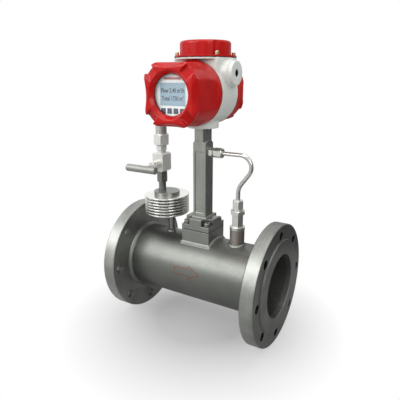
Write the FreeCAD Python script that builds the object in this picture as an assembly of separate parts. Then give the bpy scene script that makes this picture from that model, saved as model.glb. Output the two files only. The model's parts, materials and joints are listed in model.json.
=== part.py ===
import FreeCAD
import Part

import math
import os

# Flanged vortex flow meter with a pressure branch, a temperature branch and a display head.
# The origin is the centre of the inlet flange's bolting face, +X is along the flow, and +Z is up the neck.
# Lengths are millimetres.

Vec = FreeCAD.Vector
X_AXIS = Vec(1, 0, 0)
Y_AXIS = Vec(0, 1, 0)
Z_AXIS = Vec(0, 0, 1)

# Clearances
FIT = 0.1  # radial room in fixed threads, sockets and spigots
RUNNING = 0.4  # radial room round what turns or slides
OVER = 1.0  # how far a cutter runs past the surface that it opens

# Pipe run and flanges
FACE_TO_FACE = 356.0  # between the raised faces
TUBE_OD = 139.7
TUBE_WALL = 4.85
FLANGE_OD = 250.0
FLANGE_T = 28.0  # bolting face to back face
FLANGE_CHAMFER = 1.5
RAISED_H = 3.0
RAISED_MARGIN = 2.0  # raised face inside the bolt holes
BOLT_EDGE = 20.0  # bolt circle inside the flange's edge
BOLT_HOLE = 18.0
BOLT_COUNT = 8
TUBE_SETBACK = 8.0  # tube end behind the bolting face
FLANGE_BEAD = 6.0  # leg of the fillet weld behind a flange
BEAD_BULGE = 0.58  # share of the leg that a weld's crown reaches

# Bluff body across the bore
BLUFF_W = 36.0
BLUFF_LIP = 3.0
BLUFF_L = 34.0
BLUFF_TAIL = 12.0
BLUFF_LEAD = 55.0  # front face upstream of the neck's axis

# Seat, neck flange and column
SEAT_W = 65.0
SEAT_TOP = 92.0  # joint face above the flow axis
SEAT_BEAD = 4.5
GASKET_T = 1.5
NECK_FLANGE_H = 23.5
NOTCH_H = 13.0  # corner notches below the neck flange's top
NOTCH_R = 9.5
SCREW_INSET = 8.5  # screw axis inside the seat's sides
SCREW_D = 8.0
SCREW_HEAD_D = 13.0
SCREW_HEAD_H = 8.0
SCREW_KEY = 6.0  # hexagon socket, across flats
SCREW_GRIP = 15.0  # thread length in the seat
COLUMN_W = 30.0
COLUMN_L = 160.0
COLUMN_EDGE = 1.2
COLUMN_BORE = 20.0
COLUMN_BEAD = 4.0
COLUMN_BEAD_TOP = 0.8
SHOULDER_H = 6.0
SHOULDER_D = 33.0  # turned shoulder at the column's top
PANEL_W = 20.0
PANEL_DEPTH = 1.2
PANEL_FOOT = 10.0  # recess above the column's foot
PANEL_HEAD = 22.0  # recess below the column's top
ADAPTER_FLATS = 34.0
ADAPTER_H = 25.0
SPIGOT_L = 12.0  # depth of the adapter's two spigots
NECK_SPIGOT_D = 26.0
WIRE_BORE = 14.0

# Vortex probe
PROBE_FLANGE_D = 44.0
PROBE_FLANGE_H = 6.0
PROBE_STEM_D = 18.0
PROBE_STEM_L = 46.0
BLADE_L = 20.0
BLADE_W = 14.0
BLADE_T = 4.0
PROBE_NIPPLE_D = 10.0
PROBE_NIPPLE_H = 14.0

# Pressure branch
COOLER_X = -92.25  # along the flow from the neck's axis
TAP_OFFSET = 11.75  # stub and riser either side of the cooler's centre
COOLER_BASE = 109.0  # drum's underside above the flow axis
COOLER_OD = 97.0
DRUM_D = 56.0
DRUM_H = 51.0
DRUM_WALL = 3.0
FIN_TURNS = 7.5
FIN_PITCH = 6.2
FIN_T = 3.4
FIN_EDGE = 1.0
FIN_FOOT = 0.6  # fin's lowest edge above the drum's underside
FIN_END = 160.0  # turn of the fin's lower end about the drum, degrees
STUB_D = 15.0
STUB_BORE = 8.0
TAP_BEAD = 3.5
RISER_D = 16.0
RISER_BORE = 8.0
RISER_SHOWN = 19.0  # bare length between the drum and the valve's fitting
PORT_FLATS = 21.0  # hexagon of the valve's end fittings
PORT_BORE = 6.0
PORT_THREAD_D = 14.0
PORT_THREAD_L = 10.0
INLET_HEX_H = 24.0
SOCKET_DEPTH = 8.0  # riser inside its fitting
HEX_BEVEL = 2.0
VALVE_W = 27.0  # along the flow
VALVE_D = 31.0  # front to back
VALVE_H = 40.0
VALVE_EDGE = 3.0
STEM_RISE = 16.0  # stem axis above the valve's underside
BONNET_D = 19.0
BONNET_L = 11.5
BONNET_THREAD_D = 14.0
BONNET_THREAD_L = 6.5
PACKING_FLATS = 15.0
PACKING_L = 10.0
STEM_D = 8.0
NEEDLE_L = 11.0
NEEDLE_GAP = 0.5  # between the needle's tail and the stem
NEEDLE_TIP_D = 2.0
NEEDLE_TIP_L = 6.0
ORIFICE_D = 5.0
ORIFICE_L = 5.0
PASSAGE_D = 4.0  # drilled from each port to the orifice
ORIFICE_SETBACK = 17.5  # orifice behind the valve's front face
HANDLE_D = 15.0
HANDLE_L = 74.0
HANDLE_REACH = 71.0  # bar's axis in front of the riser's axis
HANDLE_EDGE = 1.5
HANDLE_END = 2.5  # metal left in front of the stem's end
OUTLET_NECK_D = 18.0
OUTLET_NECK_H = 5.0
OUTLET_HEX_H = 10.0
OUTLET_STUD_D = 15.0
OUTLET_STUD_H = 10.0
UNION_GAP = 2.0  # groove between the outlet's hexagon and the union nut
UNION_FLATS = 30.0
UNION_H = 23.0
UNION_BEVEL = 4.0
SENSOR_D = 24.0
SENSOR_L = 82.0
SENSOR_STUD_D = 20.0
SENSOR_STUD_H = 12.0
SENSOR_EDGE = 2.0
ELBOW_D = 16.0
ELBOW_WALL = 2.0
ELBOW_STRAIGHT = 1.4  # bare run between the bend and the nut
ELBOW_SEAT = 6.0  # elbow inside the sensor's top
ELBOW_NUT_FLATS = 24.0
ELBOW_NUT_L = 10.0

# Temperature branch
TEMP_X = 81.0  # along the flow from the neck's axis
SOCKET_D = 30.0
SOCKET_TOP = 103.0  # above the flow axis
SOCKET_THREAD_D = 16.0
SOCKET_THREAD_L = 14.0
COLLAR_D = 31.0
COLLAR_H = 5.0
FITTING_FLATS = 21.0
FITTING_HEX_H = 26.0
LOCK_FLATS = 27.0
LOCK_H = 9.0
FITTING_STUD_D = 17.0
FITTING_STUD_H = 12.0
NUT_GAP = 2.0
PROBE_NUT_FLATS = 20.0
PROBE_NUT_H = 18.0
SHEATH_D = 6.0
SHEATH_EDGE = 1.5
SHEATH_DEPTH = 66.0  # probe's tip above the flow axis is the crown less this
CONDUIT_D = 8.4
CONDUIT_BORE = 6.0
CONDUIT_SEAT = 10.0  # conduit inside each nut
CONDUIT_DROP = 23.0  # conduit's level run below the column's top
CONDUIT_BEND = 23.0
CONDUIT_SWAY = 30.0  # radius of the bend above the probe's nut
CONDUIT_SWAY_H = 25.0  # that bend's corner above the probe's nut
CONDUIT_LEAN = 36.87  # leaning run from the vertical, degrees
COLUMN_FIT_FLATS = 18.0
COLUMN_FIT_HEX = 10.0
COLUMN_FIT_STUD_D = 13.0
COLUMN_FIT_THREAD = 12.0
CONDUIT_NUT_FLATS = 18.0
CONDUIT_NUT_L = 18.0
COLUMN_FIT_THREAD_L = 5.0

# Head
NECK_LEDGE = 6.0  # neck boss below the shell
SHELL_R = 60.5
BAND_FRONT = 31.5  # housing in front of the neck's axis
BAND_BACK = 31.0
SPIGOT_STEP = 6.5  # threaded ends inside the shell's radius
SPIGOT_REACH = 14.0
SPIGOT_WALL = 6.0
WALL_FRONT = 14.0  # front face of the partition, in front of the neck's axis
WALL_T = 4.0
TOWER_INSET = 1.0  # tower inside the shell's radius
TOWER_BACK = 8.0  # tower axis behind the neck's axis
TOWER_RISE = 4.6  # tower's top above the shell
TOWER_RIM = 3.7
TOWER_WALL = 17.5
TOWER_CAVITY_H = 14.0
TOWER_WIRE_D = 12.0
BOSS_R = 22.5
BOSS_OUT = 12.1  # entries' faces outside the shell
BOSS_DROP = 28.1  # entries below the tower's top
BOSS_BASE_R = 25.0
BOSS_BASE_OUT = 3.5
NECK_BOSS_R = 31.0
ENTRY_D = 13.5
BUSH_SETBACK = 1.5
BUSH_L = 14.0
BUSH_BORE = 9.0

# Covers
FRONT_L = 88.0
FRONT_RIM_L = 12.0  # round rim at the front cover's open end
REAR_L = 42.0
REAR_RIM_L = 6.0
REAR_STEP = 4.5  # rear cover's body inside the shell's radius
REAR_WALL = 8.0
PAD_COUNT = 4  # raised pads on a cover's face, with a slot between each two
LOBE_OUT = 2.5  # pads' corners outside a cover's body
LOBE_L = 14.0  # the corners' swell behind the front face
LOBE_BEVEL = 2.0
RIM_SHOULDER = 4.5  # slope from a cover's rim down to its flat sides
FLAT_DEPTH = 5.5  # flat sides inside the shell's radius
PAD_EDGE = 12.0  # pads' straight front edges inside the shell's radius
PAD_BEVEL = 5.0  # bevel behind those edges
DISH_R = 90.0
DISH_ROOT = 13.0  # dish's front edge inside the shell's radius
FRONT_DISH_L = 14.0
REAR_DISH_L = 9.0
SLOT_W = 20.0
SLOT_DEPTH = 11.0  # at the pads' corners
SLOT_ROOT_DEPTH = 2.5
SLOT_REACH = 16.5  # slot's end on the face, inside the shell's radius
THREAD_L = 15.0
COVER_WALL = 9.5
SEAL_W = 2.6  # side of the square seal
SEAL_SETBACK = 1.5  # seal groove from the cover's open end
SEAL_ROOM = 0.3  # free room round the seal in its groove
WINDOW_LIP = 11.0  # cover's lip over the glass
WINDOW_FUNNEL = 8.0  # cone in front of the lip
WINDOW_FLARE = 6.5  # cone's spread towards the front
WINDOW_LEDGE = 10.0  # glass's gasket behind the front face
WINDOW_RIM = 14.0  # glass seat inside the shell's radius
WINDOW_SEAT_L = 14.0
WINDOW_GASKET_T = 0.6
GLASS_T = 2.2
RETAINER_T = 1.0
RETAINER_LIP = 6.0

# Top cap
CAP_STEP = 10.5  # cap's body inside its flange
CAP_H = 26.7
CAP_ROUND = 6.0
CAP_WALL = 3.0
CAP_FLANGE_T = 3.0
CAP_GASKET_T = 1.0
CAP_SCREW_EDGE = 4.9  # screws inside the flange's edge
CAP_SCREW_TURN = 37.18  # screws' turn from the flow's direction, degrees
CAP_SCREW_D = 4.0
CAP_SCREW_HEAD_D = 7.6
CAP_SCREW_HEAD_H = 6.5
CAP_SCREW_GRIP = 7.0
CAP_RELIEF_R = 8.0
SCREW_BOSS_R = 6.0

# Electronics and display
MODULE_ROOM = 4.0  # electronics inside the chamber's wall
BOARD_T = 1.6
PLATE_T = 1.5
PLATE_RIM = 2.5
PLATE_GAP = 1.3  # plate behind the retaining ring
LCD_W = 53.5
LCD_RISE = 1.0  # display panel above the display axis
LCD_MARGIN = 2.0
LCD_SUNK = 0.2
KEY_W = 9.6
KEY_H = 9.2
KEY_PITCH = 13.4
KEY_EDGE = 16.5  # keys' middle inside the plate's edge
KEY_LCD_GAP = 4.15  # between the keys and the display panel
KEY_PROUD = 0.8
KEY_TRAVEL = 0.8
KEY_BACK = 1.3  # room behind a pressed key
KEY_RIM = 0.6
KEY_RIM_T = 1.2
KEY_ROOM = 0.2
KEY_COUNT = 4
TERMINAL_W = 56.0
TERMINAL_H = 24.0
TERMINAL_D = 18.0
TERMINAL_POLES = 6
TERMINAL_PITCH = 8.5
TERMINAL_SCREW_D = 5.0
TERMINAL_WIRE_D = 4.0

# Places worked out from the sizes above
TUBE_R = TUBE_OD / 2
BORE_R = TUBE_R - TUBE_WALL
RUN = FACE_TO_FACE - 2 * RAISED_H
BOLT_PCD = FLANGE_OD - 2 * BOLT_EDGE
RAISED_OD = BOLT_PCD - BOLT_HOLE - 2 * RAISED_MARGIN
X_MID = RUN / 2
NECK_BASE = SEAT_TOP + GASKET_T
COLUMN_BASE = NECK_BASE + NECK_FLANGE_H
COLUMN_TOP = COLUMN_BASE + COLUMN_L
HEAD_BASE = COLUMN_TOP + ADAPTER_H
HEAD_Z = HEAD_BASE + SHELL_R + NECK_LEDGE
STUB_X = COOLER_X + TAP_OFFSET
RISER_X = COOLER_X - TAP_OFFSET
DRUM_TOP = COOLER_BASE + DRUM_H
INLET_BASE = DRUM_TOP + RISER_SHOWN
VALVE_BASE = INLET_BASE + INLET_HEX_H
VALVE_TOP = VALVE_BASE + VALVE_H
STEM_Z = VALVE_BASE + STEM_RISE
OUTLET_HEX_Z = VALVE_TOP + OUTLET_NECK_H
UNION_BASE = OUTLET_HEX_Z + OUTLET_HEX_H + UNION_GAP
SENSOR_BASE = UNION_BASE + UNION_H
SENSOR_TOP = SENSOR_BASE + SENSOR_L
FITTING_BASE = SOCKET_TOP
LOCK_BASE = FITTING_BASE + COLLAR_H + FITTING_HEX_H
STUD_BASE = LOCK_BASE + LOCK_H
PROBE_NUT_BASE = STUD_BASE + NUT_GAP
PROBE_NUT_TOP = PROBE_NUT_BASE + PROBE_NUT_H
CONDUIT_Z = COLUMN_TOP - CONDUIT_DROP
COLUMN_SIDE = COLUMN_W / 2
CONDUIT_NUT_X = COLUMN_SIDE + COLUMN_FIT_HEX + NUT_GAP
CONDUIT_END_X = CONDUIT_NUT_X + CONDUIT_NUT_L - CONDUIT_SEAT
SPIGOT_R = SHELL_R - SPIGOT_STEP
CHAMBER_R = SPIGOT_R - SPIGOT_WALL
TOWER_R = SHELL_R - TOWER_INSET
TOWER_CAVITY_R = TOWER_R - TOWER_WALL
TOWER_TOP = HEAD_Z + SHELL_R + TOWER_RISE
BOSS_REACH = SHELL_R + BOSS_OUT
BOSS_BASE_REACH = SHELL_R + BOSS_BASE_OUT
ENTRY_Z = TOWER_TOP - BOSS_DROP
ELBOW_R = -RISER_X - BOSS_REACH - ELBOW_NUT_L - ELBOW_STRAIGHT
LOBE_R = SHELL_R + LOBE_OUT
FLAT_R = SHELL_R - FLAT_DEPTH
SLOT_ROOT_R = SHELL_R - SLOT_REACH
COVER_CHAMBER_R = SHELL_R - COVER_WALL
WINDOW_SEAT_R = SHELL_R - WINDOW_RIM
WINDOW_R = WINDOW_SEAT_R - WINDOW_LIP
CAP_R = TOWER_R - CAP_STEP
CAP_SCREW_R = TOWER_R - CAP_SCREW_EDGE
MODULE_R = CHAMBER_R - MODULE_ROOM
KEY_DROP = MODULE_R - KEY_EDGE
LCD_H = 2 * (LCD_RISE + KEY_DROP - KEY_H / 2 - KEY_LCD_GAP)
CAP_BASE = TOWER_TOP + CAP_GASKET_T
COVER_THREAD_R = SPIGOT_R + RUNNING
SEAL_R = COVER_THREAD_R + SEAL_ROOM
FRONT_FACE_Y = -BAND_FRONT - FRONT_L
GLASS_BACK_Y = FRONT_FACE_Y + WINDOW_LEDGE + WINDOW_GASKET_T + GLASS_T
PLATE_Y = GLASS_BACK_Y + RETAINER_T + PLATE_GAP
BOARD_Y = PLATE_Y + PLATE_T + KEY_RIM_T + KEY_TRAVEL + KEY_BACK
MODULE_FRONT_Y = BOARD_Y + BOARD_T


def at(x, y, z):
    """Point measured along the flow from the neck's axis, towards the back, and up from the flow axis."""
    return Vec(X_MID + x, y, z)


def rod(radius, start, end):
    """Cylinder between two points."""
    axis = end - start
    return Part.makeCylinder(radius, axis.Length, start, axis)


def pipe(outer, inner, start, end):
    """Straight tube between two points."""
    reach = (end - start).normalize() * OVER
    return rod(outer, start, end).cut(rod(inner, start - reach, end + reach))


def block(low, high):
    """Box between two opposite corners."""
    size = high - low
    return Part.makeBox(size.x, size.y, size.z, low)


def hex_rod(flats, start, end, corner):
    """Hexagon bar between two points with one edge towards the direction corner."""
    axis = end - start
    turn = FreeCAD.Rotation(axis, 60)
    arm = Vec(corner).normalize() * (flats / math.sqrt(3))
    points = []
    for _ in range(6):
        points.append(start + arm)
        arm = turn.multVec(arm)
    return Part.Face(Part.makePolygon(points + points[:1])).extrude(axis)


def outline(steps, place):
    """Closed flat face. A step is a corner, or a pair of corners: an arc's middle and its end."""
    first = place(*steps[0])
    last = first
    edges = []
    for step in steps[1:]:
        if isinstance(step[0], tuple):
            end = place(*step[1])
            edges.append(Part.Arc(last, place(*step[0]), end).toShape())
        else:
            end = place(*step)
            edges.append(Part.LineSegment(last, end).toShape())
        last = end
    edges.append(Part.LineSegment(last, first).toShape())
    return Part.Face(Part.Wire(edges))


def turned(steps, base, axis):
    """Turned solid. Steps give the distance along the axis from the base, and the radius."""
    side = X_AXIS if abs(axis.z) > 0 else Z_AXIS

    def place(along, radius):
        return base + axis * along + side * radius

    return outline(steps, place).revolve(base, axis, 360)


def hex_nut(flats, start, end, corner, bevel):
    """Hexagon bar with both ends turned to a bevel."""
    axis = end - start
    length = axis.Length
    crest = flats / math.sqrt(3)
    land = flats / 2
    barrel = [(0, 0), (0, land), (bevel, crest), (length - bevel, crest), (length, land), (length, 0)]
    return hex_rod(flats, start, end, corner).common(turned(barrel, start, axis.normalize()))


def bent_path(points, radii):
    """Straight runs joined by tangent arcs, one radius for each inner point."""
    edges = []
    last = points[0]
    for before, corner, after, radius in zip(points, points[1:], points[2:], radii):
        back = (before - corner).normalize()
        ahead = (after - corner).normalize()
        half = back.getAngle(ahead) / 2
        reach = radius / math.tan(half)
        middle = corner + (back + ahead).normalize() * (radius / math.sin(half) - radius)
        start = corner + back * reach
        end = corner + ahead * reach
        edges.append(Part.LineSegment(last, start).toShape())
        edges.append(Part.Arc(start, middle, end).toShape())
        last = end
    edges.append(Part.LineSegment(last, points[-1]).toShape())
    return Part.Wire(edges)


def bent_pipe(points, radii, outer, inner):
    """Bent tube along a path of runs and arcs."""
    path = bent_path(points, radii)
    heading = points[1] - points[0]
    skins = []
    for radius in (outer, inner):
        ring = Part.Wire(Part.makeCircle(radius, points[0], heading))
        skins.append(path.makePipeShell([ring], True, True))
    return skins[0].cut(skins[1])


def at_corners(half_x, half_y):
    """Four signed corners of a rectangle."""
    return [(sx * half_x, sy * half_y) for sx in (-1, 1) for sy in (-1, 1)]


# Pipe run


def tube_solid(radius):
    """Full length cylinder along the flow axis, used to saddle what stands on the tube."""
    return rod(radius, Vec(-OVER, 0, 0), Vec(RUN + OVER, 0, 0))


def make_flow_tube():
    tube = pipe(TUBE_R, BORE_R, Vec(TUBE_SETBACK, 0, 0), Vec(RUN - TUBE_SETBACK, 0, 0))
    taps = ((0, PROBE_STEM_D / 2), (TEMP_X, SHEATH_D / 2), (STUB_X, STUB_BORE / 2 - FIT))
    for x, radius in taps:
        tube = tube.cut(rod(radius + FIT, at(x, 0, 0), at(x, 0, TUBE_R + OVER)))
    return tube


def make_flange(face_x, inward):
    edge = FLANGE_OD / 2
    inset = edge - FLANGE_CHAMFER
    socket = TUBE_R + FIT
    steps = [(-RAISED_H, BORE_R), (-RAISED_H, RAISED_OD / 2), (0, RAISED_OD / 2), (0, inset)]
    steps += [(FLANGE_CHAMFER, edge), (FLANGE_T - FLANGE_CHAMFER, edge), (FLANGE_T, inset)]
    steps += [(FLANGE_T, socket), (TUBE_SETBACK, socket), (TUBE_SETBACK, BORE_R)]
    base = Vec(face_x, 0, 0)
    axis = X_AXIS * inward
    body = turned(steps, base, axis)
    for index in range(BOLT_COUNT):
        angle = 2 * math.pi * index / BOLT_COUNT
        centre = base + Vec(0, math.sin(angle), math.cos(angle)) * (BOLT_PCD / 2)
        body = body.cut(rod(BOLT_HOLE / 2, centre - axis * OVER, centre + axis * (FLANGE_T + OVER)))
    return body


def make_flange_welds():
    toe = FLANGE_T + FLANGE_BEAD
    crown = FLANGE_BEAD * BEAD_BULGE
    bulge = (FLANGE_T + crown, TUBE_R + crown)
    steps = [(FLANGE_T, TUBE_R), (toe, TUBE_R), (bulge, (FLANGE_T, TUBE_R + FLANGE_BEAD))]
    beads = []
    for face_x, inward in ((0, 1), (RUN, -1)):
        beads.append(turned(steps, Vec(face_x, 0, 0), X_AXIS * inward))
    return Part.makeCompound(beads)


def make_bluff_body():
    half = BLUFF_W / 2
    tail = BLUFF_TAIL / 2
    steps = [(0, -half), (BLUFF_LIP, -half), (BLUFF_L, -tail), (BLUFF_L, tail), (BLUFF_LIP, half), (0, half)]

    def place(along, across):
        return at(along - BLUFF_LEAD, across, -TUBE_R)

    bar = outline(steps, place).extrude(Z_AXIS * (2 * TUBE_R))
    return bar.common(tube_solid(BORE_R))


# Seat, neck flange and column


def seat_block(grow):
    """Square block on the flow axis, wider than the seat by grow on each side."""
    half = SEAT_W / 2 + grow
    return block(at(-half, -half, 0), at(half, half, SEAT_TOP))


def screw_places():
    """Axes of the four neck screws."""
    half = SEAT_W / 2 - SCREW_INSET
    return at_corners(half, half)


def make_sensor_seat():
    seat = seat_block(0).cut(tube_solid(TUBE_R))
    top = at(0, 0, SEAT_TOP + OVER)
    seat = seat.cut(rod(PROBE_STEM_D / 2 + FIT, at(0, 0, 0), top))
    seat = seat.cut(rod(PROBE_FLANGE_D / 2 + FIT, at(0, 0, SEAT_TOP - PROBE_FLANGE_H), top))
    for x, y in screw_places():
        seat = seat.cut(rod(SCREW_D / 2, at(x, y, SEAT_TOP - SCREW_GRIP), at(x, y, SEAT_TOP + OVER)))
    return seat


def make_seat_weld():
    skirt = tube_solid(TUBE_R + SEAT_BEAD).cut(tube_solid(TUBE_R))
    return skirt.common(seat_block(SEAT_BEAD)).cut(seat_block(0))


def make_seat_gasket():
    half = SEAT_W / 2
    sheet = block(at(-half, -half, SEAT_TOP), at(half, half, NECK_BASE))
    low = SEAT_TOP - OVER
    high = NECK_BASE + OVER
    sheet = sheet.cut(rod(PROBE_NIPPLE_D / 2 + FIT, at(0, 0, low), at(0, 0, high)))
    for x, y in screw_places():
        sheet = sheet.cut(rod(SCREW_D / 2 + RUNNING, at(x, y, low), at(x, y, high)))
    return sheet


def make_vortex_probe():
    shelf = SEAT_TOP - PROBE_FLANGE_H
    tip = shelf - PROBE_STEM_L
    probe = rod(PROBE_FLANGE_D / 2, at(0, 0, shelf), at(0, 0, SEAT_TOP))
    probe = probe.fuse(rod(PROBE_STEM_D / 2, at(0, 0, tip), at(0, 0, shelf)))
    probe = probe.fuse(rod(PROBE_NIPPLE_D / 2, at(0, 0, SEAT_TOP), at(0, 0, SEAT_TOP + PROBE_NIPPLE_H)))
    low = at(-BLADE_W / 2, -BLADE_T / 2, tip - BLADE_L)
    return probe.fuse(block(low, at(BLADE_W / 2, BLADE_T / 2, tip))).removeSplitter()


def make_neck_flange():
    half = SEAT_W / 2
    ledge = COLUMN_BASE - NOTCH_H
    high = COLUMN_BASE + OVER
    body = block(at(-half, -half, NECK_BASE), at(half, half, COLUMN_BASE))
    body = body.cut(rod(WIRE_BORE / 2, at(0, 0, NECK_BASE - OVER), at(0, 0, high)))
    reach = SCREW_INSET + OVER
    for x, y in screw_places():
        out_x = math.copysign(1, x)
        out_y = math.copysign(1, y)
        notch = rod(NOTCH_R, at(x, y, ledge), at(x, y, high))
        for inner_x, inner_y in ((NOTCH_R, 0), (0, NOTCH_R)):
            near = at(x - out_x * inner_x, y - out_y * inner_y, ledge)
            far = at(x + out_x * reach, y + out_y * reach, high)
            low = Vec(min(near.x, far.x), min(near.y, far.y), ledge)
            top = Vec(max(near.x, far.x), max(near.y, far.y), high)
            notch = notch.fuse(block(low, top))
        body = body.cut(notch)
        body = body.cut(rod(SCREW_D / 2 + RUNNING, at(x, y, NECK_BASE - OVER), at(x, y, high)))
    return body.removeSplitter()


def make_neck_screws():
    ledge = COLUMN_BASE - NOTCH_H
    crown = ledge + SCREW_HEAD_H
    screws = []
    for x, y in screw_places():
        head = rod(SCREW_HEAD_D / 2, at(x, y, ledge), at(x, y, crown))
        shank = rod(SCREW_D / 2 - FIT, at(x, y, SEAT_TOP - SCREW_GRIP + OVER), at(x, y, ledge))
        socket = hex_rod(SCREW_KEY, at(x, y, crown - SCREW_HEAD_H / 2), at(x, y, crown + OVER), X_AXIS)
        screws.append(head.fuse(shank).removeSplitter().cut(socket))
    return Part.makeCompound(screws)


def column_square(half, z):
    """Closed square wire round the column's axis."""
    points = [at(-half, -half, z), at(half, -half, z), at(half, half, z), at(-half, half, z)]
    return Part.makePolygon(points + points[:1])


def make_neck_weld():
    foot = column_square(COLUMN_SIDE + COLUMN_BEAD, COLUMN_BASE)
    crown = column_square(COLUMN_SIDE + COLUMN_BEAD_TOP, COLUMN_BASE + COLUMN_BEAD)
    bead = Part.makeLoft([foot, crown], True, True)
    core = block(at(-COLUMN_SIDE, -COLUMN_SIDE, 0), at(COLUMN_SIDE, COLUMN_SIDE, COLUMN_TOP))
    return bead.cut(core)


def make_neck_column():
    low = at(-COLUMN_SIDE, -COLUMN_SIDE, COLUMN_BASE)
    bar = block(low, at(COLUMN_SIDE, COLUMN_SIDE, COLUMN_TOP))
    uprights = [edge for edge in bar.Edges if abs(edge.tangentAt(edge.FirstParameter).z) > 0.5]
    bar = bar.makeFillet(COLUMN_EDGE, uprights)
    shoulder = [(0, 0), (0, COLUMN_W), (COLUMN_L - SHOULDER_H, COLUMN_SIDE * math.sqrt(2))]
    shoulder += [(COLUMN_L, SHOULDER_D / 2), (COLUMN_L, 0)]
    bar = bar.common(turned(shoulder, at(0, 0, COLUMN_BASE), Z_AXIS))
    bar = bar.cut(rod(COLUMN_BORE / 2, at(0, 0, COLUMN_BASE - OVER), at(0, 0, COLUMN_TOP + OVER)))
    panel_low = at(-PANEL_W / 2, -COLUMN_SIDE - OVER, COLUMN_BASE + PANEL_FOOT)
    panel_high = at(PANEL_W / 2, -COLUMN_SIDE + PANEL_DEPTH, COLUMN_TOP - PANEL_HEAD)
    bar = bar.cut(block(panel_low, panel_high))
    thread = COLUMN_FIT_THREAD / 2 + FIT
    return bar.cut(rod(thread, at(0, 0, CONDUIT_Z), at(COLUMN_SIDE + OVER, 0, CONDUIT_Z)))


def make_neck_adapter():
    body = hex_rod(ADAPTER_FLATS, at(0, 0, COLUMN_TOP), at(0, 0, HEAD_BASE), X_AXIS)
    body = body.fuse(rod(COLUMN_BORE / 2 - FIT, at(0, 0, COLUMN_TOP - SPIGOT_L), at(0, 0, COLUMN_TOP)))
    body = body.fuse(rod(NECK_SPIGOT_D / 2, at(0, 0, HEAD_BASE), at(0, 0, HEAD_BASE + SPIGOT_L)))
    bottom = at(0, 0, COLUMN_TOP - SPIGOT_L - OVER)
    return body.cut(rod(WIRE_BORE / 2, bottom, at(0, 0, HEAD_BASE + SPIGOT_L + OVER)))


# Pressure branch


def tap_bead(x, radius):
    """Weld round a round stub on the tube's crown."""
    skirt = tube_solid(TUBE_R + TAP_BEAD).cut(tube_solid(TUBE_R))
    top = at(x, 0, TUBE_R + 2 * TAP_BEAD)
    collar = pipe(radius + TAP_BEAD, radius, at(x, 0, 0), top)
    return skirt.common(collar)


def make_tap_welds():
    return Part.makeCompound([tap_bead(STUB_X, STUB_D / 2), tap_bead(TEMP_X, SOCKET_D / 2)])


def make_pressure_stub():
    top = at(STUB_X, 0, COOLER_BASE + DRUM_WALL)
    return pipe(STUB_D / 2, STUB_BORE / 2, at(STUB_X, 0, 0), top).cut(tube_solid(TUBE_R))


def make_cooler_drum():
    inner = DRUM_D / 2 - DRUM_WALL
    drum = rod(DRUM_D / 2, at(COOLER_X, 0, COOLER_BASE), at(COOLER_X, 0, DRUM_TOP))
    floor = at(COOLER_X, 0, COOLER_BASE + DRUM_WALL)
    drum = drum.cut(rod(inner, floor, at(COOLER_X, 0, DRUM_TOP - DRUM_WALL)))
    middle = COOLER_BASE + DRUM_H / 2
    drum = drum.cut(rod(STUB_D / 2 + FIT, at(STUB_X, 0, COOLER_BASE - OVER), at(STUB_X, 0, middle)))
    return drum.cut(rod(RISER_D / 2 + FIT, at(RISER_X, 0, middle), at(RISER_X, 0, DRUM_TOP + OVER)))


def make_cooling_fin():
    root = DRUM_D / 2
    rim = COOLER_OD / 2
    inset = rim - FIN_EDGE
    steps = [(root, 0), (inset, 0), (rim, FIN_EDGE), (rim, FIN_T - FIN_EDGE), (inset, FIN_T), (root, FIN_T)]
    profile = outline(steps, lambda radius, height: Vec(radius, 0, height)).OuterWire
    spine = Part.Wire(Part.makeHelix(FIN_PITCH, FIN_TURNS * FIN_PITCH - FIN_T, (root + rim) / 2))
    fin = spine.makePipeShell([profile], True, True)
    fin.rotate(Vec(0, 0, 0), Z_AXIS, FIN_END)
    fin.translate(at(COOLER_X, 0, COOLER_BASE + FIN_FOOT))
    return fin


def make_riser_tube():
    low = at(RISER_X, 0, DRUM_TOP - DRUM_WALL)
    return pipe(RISER_D / 2, RISER_BORE / 2, low, at(RISER_X, 0, INLET_BASE + SOCKET_DEPTH))


def on_riser(z):
    """Point on the riser's axis."""
    return at(RISER_X, 0, z)


def make_valve_inlet():
    body = hex_nut(PORT_FLATS, on_riser(INLET_BASE), on_riser(VALVE_BASE), X_AXIS, HEX_BEVEL)
    body = body.fuse(rod(PORT_THREAD_D / 2, on_riser(VALVE_BASE), on_riser(VALVE_BASE + PORT_THREAD_L)))
    body = body.cut(rod(RISER_D / 2 + FIT, on_riser(INLET_BASE - OVER), on_riser(INLET_BASE + SOCKET_DEPTH)))
    return body.cut(rod(PORT_BORE / 2, on_riser(INLET_BASE), on_riser(VALVE_BASE + PORT_THREAD_L + OVER)))


def on_stem(y):
    """Point on the valve stem's axis."""
    return at(RISER_X, y, STEM_Z)


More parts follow.
